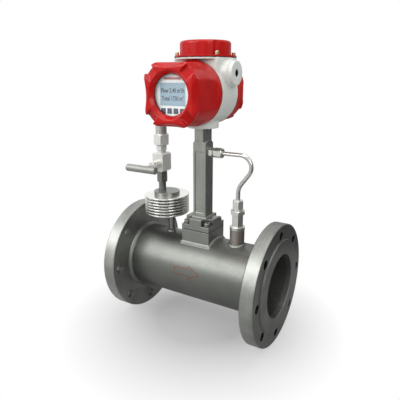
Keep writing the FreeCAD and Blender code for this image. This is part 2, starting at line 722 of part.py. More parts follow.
def make_valve_body():
    half_w = VALVE_W / 2
    half_d = VALVE_D / 2
    body = block(at(RISER_X - half_w, -half_d, VALVE_BASE), at(RISER_X + half_w, half_d, VALVE_TOP))
    body = body.makeChamfer(VALVE_EDGE, [edge for edge in body.Edges if abs(edge.tangentAt(0).y) > 0.5])
    port = PORT_THREAD_D / 2 + FIT
    depth = PORT_THREAD_L + FIT
    body = body.cut(rod(port, on_riser(VALVE_BASE - OVER), on_riser(VALVE_BASE + depth)))
    body = body.cut(rod(port, on_riser(VALVE_TOP - depth), on_riser(VALVE_TOP + OVER)))
    gland_root = -half_d + BONNET_THREAD_L + FIT
    seat_y = -half_d + ORIFICE_SETBACK
    body = body.cut(rod(BONNET_THREAD_D / 2 + FIT, on_stem(-half_d - OVER), on_stem(gland_root)))
    body = body.cut(rod(STEM_D / 2 + RUNNING, on_stem(-half_d), on_stem(seat_y)))
    body = body.cut(rod(ORIFICE_D / 2, on_stem(seat_y - OVER), on_stem(seat_y + ORIFICE_L)))
    inlet_y = seat_y + ORIFICE_L - PASSAGE_D / 2 - RUNNING
    inlet_low = at(RISER_X, inlet_y, VALVE_BASE + PORT_THREAD_L)
    body = body.cut(rod(PASSAGE_D / 2, inlet_low, at(RISER_X, inlet_y, STEM_Z)))
    outlet_y = seat_y - PASSAGE_D
    outlet_high = at(RISER_X, outlet_y, VALVE_TOP - PORT_THREAD_L)
    return body.cut(rod(PASSAGE_D / 2, at(RISER_X, outlet_y, STEM_Z), outlet_high))


def make_valve_bonnet():
    front = -VALVE_D / 2
    body = rod(BONNET_D / 2, on_stem(front - BONNET_L), on_stem(front))
    body = body.fuse(rod(BONNET_THREAD_D / 2, on_stem(front), on_stem(front + BONNET_THREAD_L)))
    bore_start = on_stem(front - BONNET_L - OVER)
    return body.cut(rod(STEM_D / 2 + RUNNING, bore_start, on_stem(front + BONNET_THREAD_L + OVER)))


def make_packing_nut():
    back = -VALVE_D / 2 - BONNET_L
    nut = hex_nut(PACKING_FLATS, on_stem(back), on_stem(back - PACKING_L), X_AXIS, HEX_BEVEL / 2)
    return nut.cut(rod(STEM_D / 2 + RUNNING, on_stem(back + OVER), on_stem(back - PACKING_L - OVER)))


def needle_back():
    """Y of the needle's cone root, which stands off the orifice's edge by the running room."""
    slope = (STEM_D - NEEDLE_TIP_D) / 2 / NEEDLE_TIP_L
    entry = (STEM_D - ORIFICE_D) / 2 / slope
    return -VALVE_D / 2 + ORIFICE_SETBACK - entry - RUNNING


def make_valve_needle():
    radius = STEM_D / 2
    steps = [(0, 0), (0, radius), (NEEDLE_L, radius), (NEEDLE_L + NEEDLE_TIP_L, NEEDLE_TIP_D / 2)]
    steps += [(NEEDLE_L + NEEDLE_TIP_L, 0)]
    return turned(steps, on_stem(needle_back() - NEEDLE_L), Y_AXIS)


def stem_end():
    """Y of the stem's outer end, inside the bar."""
    return -HANDLE_REACH - HANDLE_D / 2 + HANDLE_END


def make_valve_stem():
    return rod(STEM_D / 2, on_stem(needle_back() - NEEDLE_L - NEEDLE_GAP), on_stem(stem_end()))


def make_valve_handle():
    radius = HANDLE_D / 2
    inset = radius - HANDLE_EDGE
    steps = [(0, 0), (0, inset), (HANDLE_EDGE, radius), (HANDLE_L - HANDLE_EDGE, radius)]
    steps += [(HANDLE_L, inset), (HANDLE_L, 0)]
    bar = turned(steps, at(RISER_X - HANDLE_L / 2, -HANDLE_REACH, STEM_Z), X_AXIS)
    return bar.cut(rod(STEM_D / 2, on_stem(-HANDLE_REACH + radius + OVER), on_stem(stem_end())))


def make_valve_outlet():
    hex_top = OUTLET_HEX_Z + OUTLET_HEX_H
    stud_top = hex_top + OUTLET_STUD_H
    body = rod(PORT_THREAD_D / 2, on_riser(VALVE_TOP - PORT_THREAD_L), on_riser(VALVE_TOP))
    body = body.fuse(rod(OUTLET_NECK_D / 2, on_riser(VALVE_TOP), on_riser(OUTLET_HEX_Z)))
    body = body.fuse(hex_nut(PORT_FLATS, on_riser(OUTLET_HEX_Z), on_riser(hex_top), X_AXIS, HEX_BEVEL / 2))
    body = body.fuse(rod(OUTLET_STUD_D / 2, on_riser(hex_top), on_riser(stud_top)))
    return body.cut(rod(PORT_BORE / 2, on_riser(VALVE_TOP - PORT_THREAD_L - OVER), on_riser(stud_top + OVER)))


def make_union_nut():
    nut = hex_nut(UNION_FLATS, on_riser(UNION_BASE), on_riser(SENSOR_BASE), X_AXIS, UNION_BEVEL)
    nut = nut.cut(rod(OUTLET_STUD_D / 2 + FIT, on_riser(UNION_BASE - OVER), on_riser(SENSOR_BASE)))
    shelf = SENSOR_BASE - SENSOR_STUD_H - FIT
    return nut.cut(rod(SENSOR_STUD_D / 2 + FIT, on_riser(shelf), on_riser(SENSOR_BASE + OVER)))


def make_pressure_sensor():
    radius = SENSOR_D / 2
    stud = SENSOR_STUD_D / 2
    top = SENSOR_STUD_H + SENSOR_L
    steps = [(0, 0), (0, stud), (SENSOR_STUD_H, stud), (SENSOR_STUD_H, radius)]
    steps += [(top - SENSOR_EDGE, radius), (top, radius - SENSOR_EDGE), (top, 0)]
    body = turned(steps, on_riser(SENSOR_BASE - SENSOR_STUD_H), Z_AXIS)
    return body.cut(rod(ELBOW_D / 2 + FIT, on_riser(SENSOR_TOP - ELBOW_SEAT), on_riser(SENSOR_TOP + OVER)))


def make_sensor_elbow():
    entry = BOSS_REACH - SPIGOT_L
    points = [on_riser(SENSOR_TOP - ELBOW_SEAT), on_riser(ENTRY_Z), at(-entry, 0, ENTRY_Z)]
    return bent_pipe(points, [ELBOW_R], ELBOW_D / 2, ELBOW_D / 2 - ELBOW_WALL)


def make_elbow_nut():
    face = at(-BOSS_REACH, 0, ENTRY_Z)
    back = at(-BOSS_REACH - ELBOW_NUT_L, 0, ENTRY_Z)
    nut = hex_nut(ELBOW_NUT_FLATS, back, face, Z_AXIS, HEX_BEVEL)
    return nut.cut(rod(ELBOW_D / 2 + FIT, back - X_AXIS * OVER, face + X_AXIS * OVER))


# Temperature branch


def on_probe(z):
    """Point on the temperature probe's axis."""
    return at(TEMP_X, 0, z)


def make_temperature_socket():
    body = rod(SOCKET_D / 2, on_probe(0), on_probe(SOCKET_TOP)).cut(tube_solid(TUBE_R))
    thread_root = SOCKET_TOP - SOCKET_THREAD_L - FIT
    body = body.cut(rod(SHEATH_D / 2 + FIT, on_probe(0), on_probe(SOCKET_TOP)))
    return body.cut(rod(SOCKET_THREAD_D / 2 + FIT, on_probe(thread_root), on_probe(SOCKET_TOP + OVER)))


def make_probe_fitting():
    hex_base = FITTING_BASE + COLLAR_H
    stud_top = STUD_BASE + FITTING_STUD_H
    body = rod(SOCKET_THREAD_D / 2, on_probe(SOCKET_TOP - SOCKET_THREAD_L), on_probe(FITTING_BASE))
    body = body.fuse(rod(COLLAR_D / 2, on_probe(FITTING_BASE), on_probe(hex_base)))
    body = body.fuse(hex_rod(FITTING_FLATS, on_probe(hex_base), on_probe(LOCK_BASE), X_AXIS))
    body = body.fuse(hex_nut(LOCK_FLATS, on_probe(LOCK_BASE), on_probe(STUD_BASE), X_AXIS, HEX_BEVEL))
    body = body.fuse(rod(FITTING_STUD_D / 2, on_probe(STUD_BASE), on_probe(stud_top)))
    low = on_probe(SOCKET_TOP - SOCKET_THREAD_L - OVER)
    body = body.cut(rod(SHEATH_D / 2 + FIT, low, on_probe(stud_top + OVER)))
    seat = PROBE_NUT_TOP - CONDUIT_SEAT
    return body.cut(rod(CONDUIT_D / 2 + FIT, on_probe(seat), on_probe(stud_top + OVER)))


def make_probe_nut():
    nut = hex_nut(PROBE_NUT_FLATS, on_probe(PROBE_NUT_BASE), on_probe(PROBE_NUT_TOP), X_AXIS, HEX_BEVEL)
    stud_top = STUD_BASE + FITTING_STUD_H + FIT
    nut = nut.cut(rod(FITTING_STUD_D / 2 + FIT, on_probe(PROBE_NUT_BASE - OVER), on_probe(stud_top)))
    return nut.cut(rod(CONDUIT_D / 2 + FIT, on_probe(PROBE_NUT_BASE), on_probe(PROBE_NUT_TOP + OVER)))


def make_temperature_probe():
    radius = SHEATH_D / 2
    tip = TUBE_R - SHEATH_DEPTH
    length = PROBE_NUT_TOP - CONDUIT_SEAT - tip
    steps = [(0, 0), (0, radius - SHEATH_EDGE), (SHEATH_EDGE, radius), (length, radius), (length, 0)]
    return turned(steps, on_probe(tip), Z_AXIS)


def make_conduit_tube():
    sway_z = PROBE_NUT_TOP + CONDUIT_SWAY_H
    swing = (CONDUIT_Z - sway_z) * math.tan(math.radians(CONDUIT_LEAN))
    points = [on_probe(PROBE_NUT_TOP - CONDUIT_SEAT), on_probe(sway_z)]
    points += [at(TEMP_X + swing, 0, CONDUIT_Z), on_conduit(CONDUIT_END_X)]
    return bent_pipe(points, [CONDUIT_SWAY, CONDUIT_BEND], CONDUIT_D / 2, CONDUIT_BORE / 2)


def on_conduit(x):
    """Point on the conduit's level run."""
    return at(x, 0, CONDUIT_Z)


def make_conduit_fitting():
    hex_end = COLUMN_SIDE + COLUMN_FIT_HEX
    stud_end = CONDUIT_END_X - FIT
    body = rod(COLUMN_FIT_THREAD / 2, on_conduit(COLUMN_SIDE - COLUMN_FIT_THREAD_L), on_conduit(COLUMN_SIDE))
    hexagon = hex_nut(COLUMN_FIT_FLATS, on_conduit(COLUMN_SIDE), on_conduit(hex_end), Z_AXIS, HEX_BEVEL / 2)
    body = body.fuse(hexagon).fuse(rod(COLUMN_FIT_STUD_D / 2, on_conduit(hex_end), on_conduit(stud_end)))
    return body.cut(rod(CONDUIT_BORE / 2, on_conduit(0), on_conduit(stud_end + OVER)))


def make_conduit_nut():
    start = CONDUIT_NUT_X
    end = CONDUIT_NUT_X + CONDUIT_NUT_L
    nut = hex_nut(CONDUIT_NUT_FLATS, on_conduit(start), on_conduit(end), Z_AXIS, HEX_BEVEL)
    nut = nut.cut(rod(COLUMN_FIT_STUD_D / 2 + FIT, on_conduit(start - OVER), on_conduit(CONDUIT_END_X)))
    return nut.cut(rod(CONDUIT_D / 2 + FIT, on_conduit(start), on_conduit(end + OVER)))


# Head


def on_display(y):
    """Point on the display axis."""
    return at(0, y, HEAD_Z)


def on_tower(z):
    """Point on the tower's axis."""
    return at(0, TOWER_BACK, z)


def cap_screw_places():
    """Axes of the four top cap screws."""
    turn = math.radians(CAP_SCREW_TURN)
    corners = at_corners(CAP_SCREW_R * math.cos(turn), CAP_SCREW_R * math.sin(turn))
    return [(x, TOWER_BACK + y) for x, y in corners]


def housing_outside():
    """Barrel, tower, rim, entry bosses and neck boss in one casting."""
    body = rod(SHELL_R, on_display(-BAND_FRONT), on_display(BAND_BACK))
    for start, end in ((-BAND_FRONT, -BAND_FRONT - SPIGOT_REACH), (BAND_BACK, BAND_BACK + SPIGOT_REACH)):
        body = body.fuse(rod(SPIGOT_R, on_display(start), on_display(end)))
    rim_base = TOWER_TOP - TOWER_RIM
    tower = rod(TOWER_R, on_tower(HEAD_Z), on_tower(TOWER_TOP))
    band = block(at(-TOWER_R, -BAND_FRONT, HEAD_Z), at(TOWER_R, BAND_BACK, TOWER_TOP))
    body = body.fuse(tower.common(band))
    body = body.fuse(rod(TOWER_R, on_tower(rim_base), on_tower(TOWER_TOP)))
    for side in (-1, 1):
        root = at(0, 0, ENTRY_Z)
        body = body.fuse(rod(BOSS_R, root, at(side * BOSS_REACH, 0, ENTRY_Z)))
        body = body.fuse(rod(BOSS_BASE_R, root, at(side * BOSS_BASE_REACH, 0, ENTRY_Z)))
    return body.fuse(rod(NECK_BOSS_R, at(0, 0, HEAD_BASE), at(0, 0, HEAD_Z)))


def make_housing():
    body = housing_outside()
    front_end = -BAND_FRONT - SPIGOT_REACH - OVER
    back_end = BAND_BACK + SPIGOT_REACH + OVER
    body = body.cut(rod(CHAMBER_R, on_display(front_end), on_display(-WALL_FRONT)))
    body = body.cut(rod(CHAMBER_R, on_display(-WALL_FRONT + WALL_T), on_display(back_end)))
    cavity_floor = TOWER_TOP - TOWER_CAVITY_H
    cavity_top = TOWER_TOP + OVER
    cavity = rod(TOWER_CAVITY_R, on_tower(cavity_floor), on_tower(cavity_top))
    low = at(-TOWER_R, -BAND_FRONT + CAP_WALL, cavity_floor)
    cavity = cavity.common(block(low, at(TOWER_R, BAND_BACK - CAP_WALL, cavity_top)))
    boss_floor = TOWER_TOP - CAP_SCREW_GRIP - CAP_WALL
    for x, y in cap_screw_places():
        body = body.fuse(rod(SCREW_BOSS_R, at(x, y, boss_floor), at(x, y, TOWER_TOP)))
        cavity = cavity.cut(rod(SCREW_BOSS_R, at(x, y, cavity_floor - OVER), at(x, y, cavity_top)))
    body = body.cut(cavity)
    for x, y in cap_screw_places():
        body = body.cut(rod(CAP_SCREW_D / 2, at(x, y, TOWER_TOP - CAP_SCREW_GRIP), at(x, y, cavity_top)))
    body = body.cut(rod(TOWER_WIRE_D / 2, at(0, 0, HEAD_Z), at(0, 0, cavity_floor + OVER)))
    body = body.cut(rod(ENTRY_D / 2, at(0, 0, ENTRY_Z), at(BOSS_REACH + OVER, 0, ENTRY_Z)))
    body = body.cut(rod(ELBOW_D / 2 + FIT, at(0, 0, ENTRY_Z), at(-BOSS_REACH - OVER, 0, ENTRY_Z)))
    spigot_top = HEAD_BASE + SPIGOT_L + FIT
    body = body.cut(rod(NECK_SPIGOT_D / 2 + FIT, at(0, 0, HEAD_BASE - OVER), at(0, 0, spigot_top)))
    body = body.cut(rod(WIRE_BORE / 2, at(0, 0, HEAD_BASE), at(0, 0, HEAD_Z)))
    return body.removeSplitter()


def cover_place(band_end, outward, turn):
    """Map from distance along a cover, radius and sideways reach to a point, at an angle round the axis."""
    angle = math.radians(turn)
    radial = Vec(math.cos(angle), 0, math.sin(angle))
    side = Vec(-math.sin(angle), 0, math.cos(angle))

    def place(along, radius, across=0):
        return on_display(band_end + outward * along) + radial * radius + side * across

    return place


def side_cutter(place, length, rim_l):
    """Prism that leaves a flat side between the round rim and the bevelled front edge of a pad."""
    outer = LOBE_R + OVER
    edge = SHELL_R - PAD_EDGE
    front = length + OVER
    profile = [(rim_l, outer), (rim_l, SHELL_R), (rim_l + RIM_SHOULDER, FLAT_R), (length - PAD_BEVEL, FLAT_R)]
    profile += [(length, edge), (front, edge), (front, outer)]
    points = [place(along, radius, -SHELL_R) for along, radius in profile]
    across = place(0, 0, 2 * SHELL_R) - place(0, 0)
    return Part.Face(Part.makePolygon(points + points[:1])).extrude(across)


def dish(place, length, run_l):
    """Slanted round cutter that hollows the front of a flat side."""
    root = SHELL_R - DISH_ROOT
    rise = FLAT_R - root
    slant = math.hypot(run_l, rise)
    run = run_l / slant
    lift = rise / slant
    axis_along = length + lift * DISH_R
    axis_radius = root + run * DISH_R
    start = place(axis_along + run * SHELL_R, axis_radius - lift * SHELL_R)
    end = place(axis_along - run * SHELL_R, axis_radius + lift * SHELL_R)
    return rod(DISH_R, start, end)


def slot(place, length):
    """Radial cutter that deepens from the slot's root to the pads' corners."""
    outer = LOBE_R + OVER
    half = SLOT_W / 2
    low = place(length - SLOT_ROOT_DEPTH, SLOT_ROOT_R, -half)
    points = [low, place(length - SLOT_DEPTH, outer, -half), place(length + OVER, outer, -half)]
    points.append(place(length + OVER, SLOT_ROOT_R, -half))
    across = place(0, 0, SLOT_W) - place(0, 0)
    return Part.Face(Part.makePolygon(points + points[:1])).extrude(across)


def lobed_cover(band_end, outward, length, rim_l, body_r, dish_l, inside):
    """Screwed cover: round rim, flat dished sides, slotted pads and its inside steps."""
    lobe_r = body_r + LOBE_OUT
    steps = [(0, SHELL_R), (rim_l, SHELL_R), (rim_l + RIM_SHOULDER, body_r), (length - LOBE_L, body_r)]
    steps += [(length - LOBE_BEVEL, lobe_r), (length, lobe_r - LOBE_BEVEL)]
    body = turned(steps + inside, on_display(band_end), Y_AXIS * outward).removeSplitter()
    pitch = 360 / PAD_COUNT
    for index in range(PAD_COUNT):
        side = cover_place(band_end, outward, pitch * index)
        body = body.cut(side_cutter(side, length, rim_l))
        body = body.cut(dish(side, length, dish_l))
        body = body.cut(slot(cover_place(band_end, outward, pitch * (index + 0.5)), length))
    return body


def seal_groove():
    """Inside steps at a cover's open end: the thread, with the seal's groove in it."""
    groove_r = SEAL_R + SEAL_W + SEAL_ROOM
    groove_end = SEAL_SETBACK + SEAL_W + 2 * SEAL_ROOM
    steps = [(THREAD_L, COVER_CHAMBER_R), (THREAD_L, COVER_THREAD_R), (groove_end, COVER_THREAD_R)]
    steps += [(groove_end, groove_r), (SEAL_SETBACK, groove_r), (SEAL_SETBACK, COVER_THREAD_R)]
    return steps + [(0, COVER_THREAD_R)]


def make_front_cover():
    ledge = FRONT_L - WINDOW_LEDGE
    seat_root = ledge - WINDOW_SEAT_L
    taper_root = seat_root - (COVER_CHAMBER_R - WINDOW_SEAT_R)
    inside = [(FRONT_L, WINDOW_R + WINDOW_FLARE), (FRONT_L - WINDOW_FUNNEL, WINDOW_R), (ledge, WINDOW_R)]
    inside += [(ledge, WINDOW_SEAT_R), (seat_root, WINDOW_SEAT_R), (taper_root, COVER_CHAMBER_R)]
    inside += seal_groove()
    return lobed_cover(-BAND_FRONT, -1, FRONT_L, FRONT_RIM_L, SHELL_R, FRONT_DISH_L, inside)


def make_rear_cover():
    floor = REAR_L - REAR_WALL
    inside = [(REAR_L, 0), (floor, 0), (floor, COVER_CHAMBER_R)] + seal_groove()
    return lobed_cover(BAND_BACK, 1, REAR_L, REAR_RIM_L, SHELL_R - REAR_STEP, REAR_DISH_L, inside)


def make_cover_seal(band_end, outward):
    start = band_end + outward * (SEAL_SETBACK + SEAL_ROOM)
    return pipe(SEAL_R + SEAL_W, SEAL_R, on_display(start), on_display(start + outward * SEAL_W))


def make_window_gasket():
    front = FRONT_FACE_Y + WINDOW_LEDGE
    return pipe(WINDOW_SEAT_R - FIT, WINDOW_R, on_display(front), on_display(front + WINDOW_GASKET_T))


def make_window_glass():
    return rod(WINDOW_SEAT_R - FIT, on_display(GLASS_BACK_Y - GLASS_T), on_display(GLASS_BACK_Y))


def make_window_retainer():
    inner = WINDOW_SEAT_R - RETAINER_LIP
    return pipe(WINDOW_SEAT_R - FIT, inner, on_display(GLASS_BACK_Y), on_display(GLASS_BACK_Y + RETAINER_T))


def make_cable_bush():
    outer_end = at(BOSS_REACH - BUSH_SETBACK, 0, ENTRY_Z)
    return pipe(ENTRY_D / 2, BUSH_BORE / 2, outer_end - X_AXIS * BUSH_L, outer_end)


# Top cap


def make_top_cap():
    flange_top = CAP_FLANGE_T
    crown = CAP_FLANGE_T + CAP_H
    bend = CAP_ROUND * math.sqrt(0.5)
    corner = (crown - CAP_ROUND + bend, CAP_R - CAP_ROUND + bend)
    inner = CAP_R - CAP_WALL
    steps = [(0, inner), (0, TOWER_R), (flange_top, TOWER_R), (flange_top, CAP_R), (crown - CAP_ROUND, CAP_R)]
    steps += [(corner, (crown, CAP_R - CAP_ROUND)), (crown, 0), (crown - CAP_WALL, 0)]
    steps += [(crown - CAP_WALL, inner - CAP_ROUND), (crown - CAP_WALL - CAP_ROUND, inner)]
    cap = turned(steps, on_tower(CAP_BASE), Z_AXIS)
    for x, y in cap_screw_places():
        seat = CAP_BASE + CAP_FLANGE_T
        cap = cap.cut(rod(CAP_RELIEF_R, at(x, y, seat), at(x, y, CAP_BASE + crown + OVER)))
        cap = cap.cut(rod(CAP_SCREW_D / 2 + RUNNING, at(x, y, CAP_BASE - OVER), at(x, y, seat + OVER)))
    return cap


def make_top_cap_gasket():
    sheet = pipe(TOWER_R, CAP_R - CAP_WALL, on_tower(TOWER_TOP), on_tower(CAP_BASE))
    for x, y in cap_screw_places():
        under = at(x, y, TOWER_TOP - OVER)
        sheet = sheet.cut(rod(CAP_SCREW_D / 2 + RUNNING, under, at(x, y, CAP_BASE + OVER)))
    return sheet


def make_top_cap_screws():
    seat = CAP_BASE + CAP_FLANGE_T
    screws = []
    for x, y in cap_screw_places():
        head = rod(CAP_SCREW_HEAD_D / 2, at(x, y, seat), at(x, y, seat + CAP_SCREW_HEAD_H))
        foot = at(x, y, TOWER_TOP - CAP_SCREW_GRIP + OVER)
        screws.append(head.fuse(rod(CAP_SCREW_D / 2 - FIT, foot, at(x, y, seat))).removeSplitter())
    return Part.makeCompound(screws)


# Electronics and display


def make_electronics_module():
    return rod(MODULE_R, on_display(MODULE_FRONT_Y), on_display(-WALL_FRONT))


def make_display_board():
    return rod(MODULE_R, on_display(BOARD_Y), on_display(MODULE_FRONT_Y))


def lcd_box(grow, front_y, back_y):
    """Block on the display panel's centre, wider than its picture by grow on each side."""
    half_w = LCD_W / 2 + grow
    half_h = LCD_H / 2 + grow
    middle = HEAD_Z + LCD_RISE
    return block(at(-half_w, front_y, middle - half_h), at(half_w, back_y, middle + half_h))


def make_lcd_panel():
    module = lcd_box(LCD_MARGIN, PLATE_Y + PLATE_T, BOARD_Y)
    return module.fuse(lcd_box(-FIT, PLATE_Y + LCD_SUNK, BOARD_Y)).removeSplitter()


def key_centre(index):
    """X of a key's centre."""
    return (index - (KEY_COUNT - 1) / 2) * KEY_PITCH


def key_box(index, grow, front_y, back_y):
    """Block on a key's centre, wider than its cap by grow on each side."""
    x = key_centre(index)
    half_w = KEY_W / 2 + grow
    half_h = KEY_H / 2 + grow
    middle = HEAD_Z - KEY_DROP
    return block(at(x - half_w, front_y, middle - half_h), at(x + half_w, back_y, middle + half_h))


def make_display_plate():
    inner = MODULE_R - PLATE_RIM
    back = BOARD_Y - PLATE_Y
    steps = [(0, 0), (0, MODULE_R), (back, MODULE_R), (back, inner), (PLATE_T, inner), (PLATE_T, 0)]
    plate = turned(steps, on_display(PLATE_Y), Y_AXIS)
    plate = plate.cut(lcd_box(0, PLATE_Y - OVER, PLATE_Y + PLATE_T + OVER))
    for index in range(KEY_COUNT):
        plate = plate.cut(key_box(index, KEY_ROOM, PLATE_Y - OVER, PLATE_Y + PLATE_T + OVER))
    return plate


def make_key(index):
    back = PLATE_Y + PLATE_T
    cap = key_box(index, 0, PLATE_Y - KEY_PROUD, back + KEY_RIM_T)
    rim = key_box(index, KEY_RIM, back + KEY_ROOM / 2, back + KEY_RIM_T)
    return cap.fuse(rim).removeSplitter()


def make_terminal_block():
    face = -WALL_FRONT + WALL_T
    half_w = TERMINAL_W / 2
    half_h = TERMINAL_H / 2
    low = at(-half_w, face, HEAD_Z - half_h)
    body = block(low, at(half_w, face + TERMINAL_D, HEAD_Z + half_h))
    back = face + TERMINAL_D
    for pole in range(TERMINAL_POLES):
        x = (pole - (TERMINAL_POLES - 1) / 2) * TERMINAL_PITCH
        screw = at(x, back - TERMINAL_D / 3, HEAD_Z + half_h / 2)
        body = body.cut(rod(TERMINAL_SCREW_D / 2, screw, screw + Y_AXIS * TERMINAL_D))
        wire = at(x, back - TERMINAL_D / 3, HEAD_Z - half_h - OVER)
        body = body.cut(rod(TERMINAL_WIRE_D / 2, wire, wire + Z_AXIS * half_h))
    return body


NODES = {
    "flow_tube": make_flow_tube(),
    "inlet_flange": make_flange(0, 1),
    "outlet_flange": make_flange(RUN, -1),
    "flange_welds": make_flange_welds(),
    "bluff_body": make_bluff_body(),
    "sensor_seat": make_sensor_seat(),
    "seat_weld": make_seat_weld(),
    "seat_gasket": make_seat_gasket(),
    "vortex_probe": make_vortex_probe(),
    "neck_flange": make_neck_flange(),
    "neck_screws": make_neck_screws(),
    "neck_weld": make_neck_weld(),
    "neck_column": make_neck_column(),
    "neck_adapter": make_neck_adapter(),
    "tap_welds": make_tap_welds(),
    "pressure_stub": make_pressure_stub(),
    "cooler_drum": make_cooler_drum(),
    "cooling_fin": make_cooling_fin(),
    "riser_tube": make_riser_tube(),
    "valve_inlet": make_valve_inlet(),
    "valve_body": make_valve_body(),
    "valve_bonnet": make_valve_bonnet(),
    "packing_nut": make_packing_nut(),
    "valve_needle": make_valve_needle(),
    "valve_stem": make_valve_stem(),
    "valve_handle": make_valve_handle(),
    "valve_outlet": make_valve_outlet(),
    "union_nut": make_union_nut(),
    "pressure_sensor": make_pressure_sensor(),
    "sensor_elbow": make_sensor_elbow(),
    "elbow_nut": make_elbow_nut(),
    "temperature_socket": make_temperature_socket(),
    "probe_fitting": make_probe_fitting(),
    "probe_nut": make_probe_nut(),
    "temperature_probe": make_temperature_probe(),
    "conduit_tube": make_conduit_tube(),
    "conduit_fitting": make_conduit_fitting(),
    "conduit_nut": make_conduit_nut(),
    "housing": make_housing(),
    "front_cover": make_front_cover(),
    "front_cover_seal": make_cover_seal(-BAND_FRONT, -1),
    "window_gasket": make_window_gasket(),
    "window_glass": make_window_glass(),
    "window_retainer": make_window_retainer(),
    "rear_cover": make_rear_cover(),
    "rear_cover_seal": make_cover_seal(BAND_BACK, 1),
    "cable_bush": make_cable_bush(),
    "top_cap": make_top_cap(),
    "top_cap_gasket": make_top_cap_gasket(),
    "top_cap_screws": make_top_cap_screws(),
    "electronics_module": make_electronics_module(),
    "display_board": make_display_board(),
    "lcd_panel": make_lcd_panel(),
    "display_plate": make_display_plate(),
    "terminal_block": make_terminal_block(),
}
for key_index in range(KEY_COUNT):
    NODES["key_%d" % (key_index + 1)] = make_key(key_index)

os.makedirs("parts", exist_ok=True)
for node, shape in NODES.items():
    shape.exportStep("parts/%s.step" % node)
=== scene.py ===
"""Looks of a flanged vortex flow meter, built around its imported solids.

Lengths are millimetres until a mesh is written, where they become metres. +X is along the flow from the inlet
flange's bolting face, +Z is up the neck, and the display looks towards -Y.
"""

import json
import logging
import math
from dataclasses import dataclass
from enum import Enum

import bmesh
import bpy
import numpy as np
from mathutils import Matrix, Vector

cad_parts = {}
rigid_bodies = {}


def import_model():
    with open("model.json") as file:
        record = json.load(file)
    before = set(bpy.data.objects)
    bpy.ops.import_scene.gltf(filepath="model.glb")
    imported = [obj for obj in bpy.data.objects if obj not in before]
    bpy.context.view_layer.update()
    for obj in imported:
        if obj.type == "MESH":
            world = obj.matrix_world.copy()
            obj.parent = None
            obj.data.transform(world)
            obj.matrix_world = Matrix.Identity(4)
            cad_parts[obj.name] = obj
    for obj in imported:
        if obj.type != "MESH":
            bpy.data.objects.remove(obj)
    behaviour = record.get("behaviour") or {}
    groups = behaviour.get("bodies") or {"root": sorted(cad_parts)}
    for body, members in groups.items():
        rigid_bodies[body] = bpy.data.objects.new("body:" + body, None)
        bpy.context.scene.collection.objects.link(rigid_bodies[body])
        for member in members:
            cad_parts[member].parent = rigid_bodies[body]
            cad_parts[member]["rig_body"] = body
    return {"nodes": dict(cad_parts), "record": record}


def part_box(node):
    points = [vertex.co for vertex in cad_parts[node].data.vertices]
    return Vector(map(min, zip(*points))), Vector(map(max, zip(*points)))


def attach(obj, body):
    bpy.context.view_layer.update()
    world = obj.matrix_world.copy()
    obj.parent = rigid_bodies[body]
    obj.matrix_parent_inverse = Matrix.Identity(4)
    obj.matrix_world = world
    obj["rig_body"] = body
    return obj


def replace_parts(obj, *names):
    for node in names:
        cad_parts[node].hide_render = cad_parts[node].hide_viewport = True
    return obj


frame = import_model()

LOG = logging.getLogger("flow_meter")
MM = 0.001  # metres in a millimetre
SMOOTH = math.radians(30.0)  # edges sharper than this stay crisp


# The frame


def corners(node: str) -> tuple[np.ndarray, np.ndarray]:
    """Lowest and highest corner of a CAD node, in millimetres."""
    low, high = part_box(node)
    return np.array(low) / MM, np.array(high) / MM


def middle(node: str) -> np.ndarray:
    """Centre of a CAD node's box, in millimetres."""
    low, high = corners(node)
    return (low + high) / 2.0


def half_size(node: str) -> np.ndarray:
    """Half of each side of a CAD node's box, in millimetres."""
    low, high = corners(node)
    return (high - low) / 2.0


def body_of(node: str) -> str:
    """Name of the body that carries a CAD node."""
    return frame["nodes"][node]["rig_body"]


def mount_size(mount: str, size: str) -> float:
    """Find one of a mount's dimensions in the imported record.

    Args:
        mount: The mount's name.
        size: The dimension's name.

    Returns:
        The dimension, in millimetres.
    """
    return float(next(row["dims"][size] for row in frame["record"]["mounts"] if row["name"] == mount))


X_MID = float(middle("neck_column")[0])  # the neck's axis along the flow
TUBE_R = float(corners("flow_tube")[1][2])
BOLT_R = mount_size("outlet_bolts", "pcd_mm") / 2  # radius of the flanges' bolt circle
HOLE_R = mount_size("outlet_bolts", "hole_r_mm")
SINK = 0.3  # how far a weld or a thread reaches into what carries it


class Streak(Enum):
    """Which way the marks of a machined surface run."""

    AROUND_FLOW = "turned about the flow axis"
    UPRIGHT = "brushed along the neck"
    BLASTED = "no direction"


# Colours and shader nodes


def linear(code: str) -> tuple[float, float, float, float]:
    """Turn an sRGB hex colour into linear light.

    Args:
        code: A colour such as "#C02020".

    Returns:
        Red, green, blue and an alpha of one.
    """
    parts = np.array([int(code[i : i + 2], 16) for i in (1, 3, 5)]) / 255.0
    light = np.where(parts <= 0.04045, parts / 12.92, ((parts + 0.055) / 1.055) ** 2.4)
    return (*light.tolist(), 1.0)


def per_mm(size: float) -> float:
    """Texture scale that gives one feature in each length of this many millimetres."""
    return 1.0 / (size * MM)


def add_node(tree: bpy.types.NodeTree, kind: str, inputs: dict, **settings: object) -> bpy.types.Node:
    """Add a node with its settings, values and links.

    Args:
        tree: The node tree that gets the node.
        kind: Blender's name for the node.
        inputs: Each socket's name or number, with its value or the output that feeds it.
        settings: The node's own properties.

    Returns:
        The new node.
    """
    made = tree.nodes.new(kind)
    for key, value in settings.items():
        setattr(made, key, value)
    for key, value in inputs.items():
        if isinstance(value, bpy.types.NodeSocket):
            tree.links.new(value, made.inputs[key])
        else:
            made.inputs[key].default_value = value
    return made


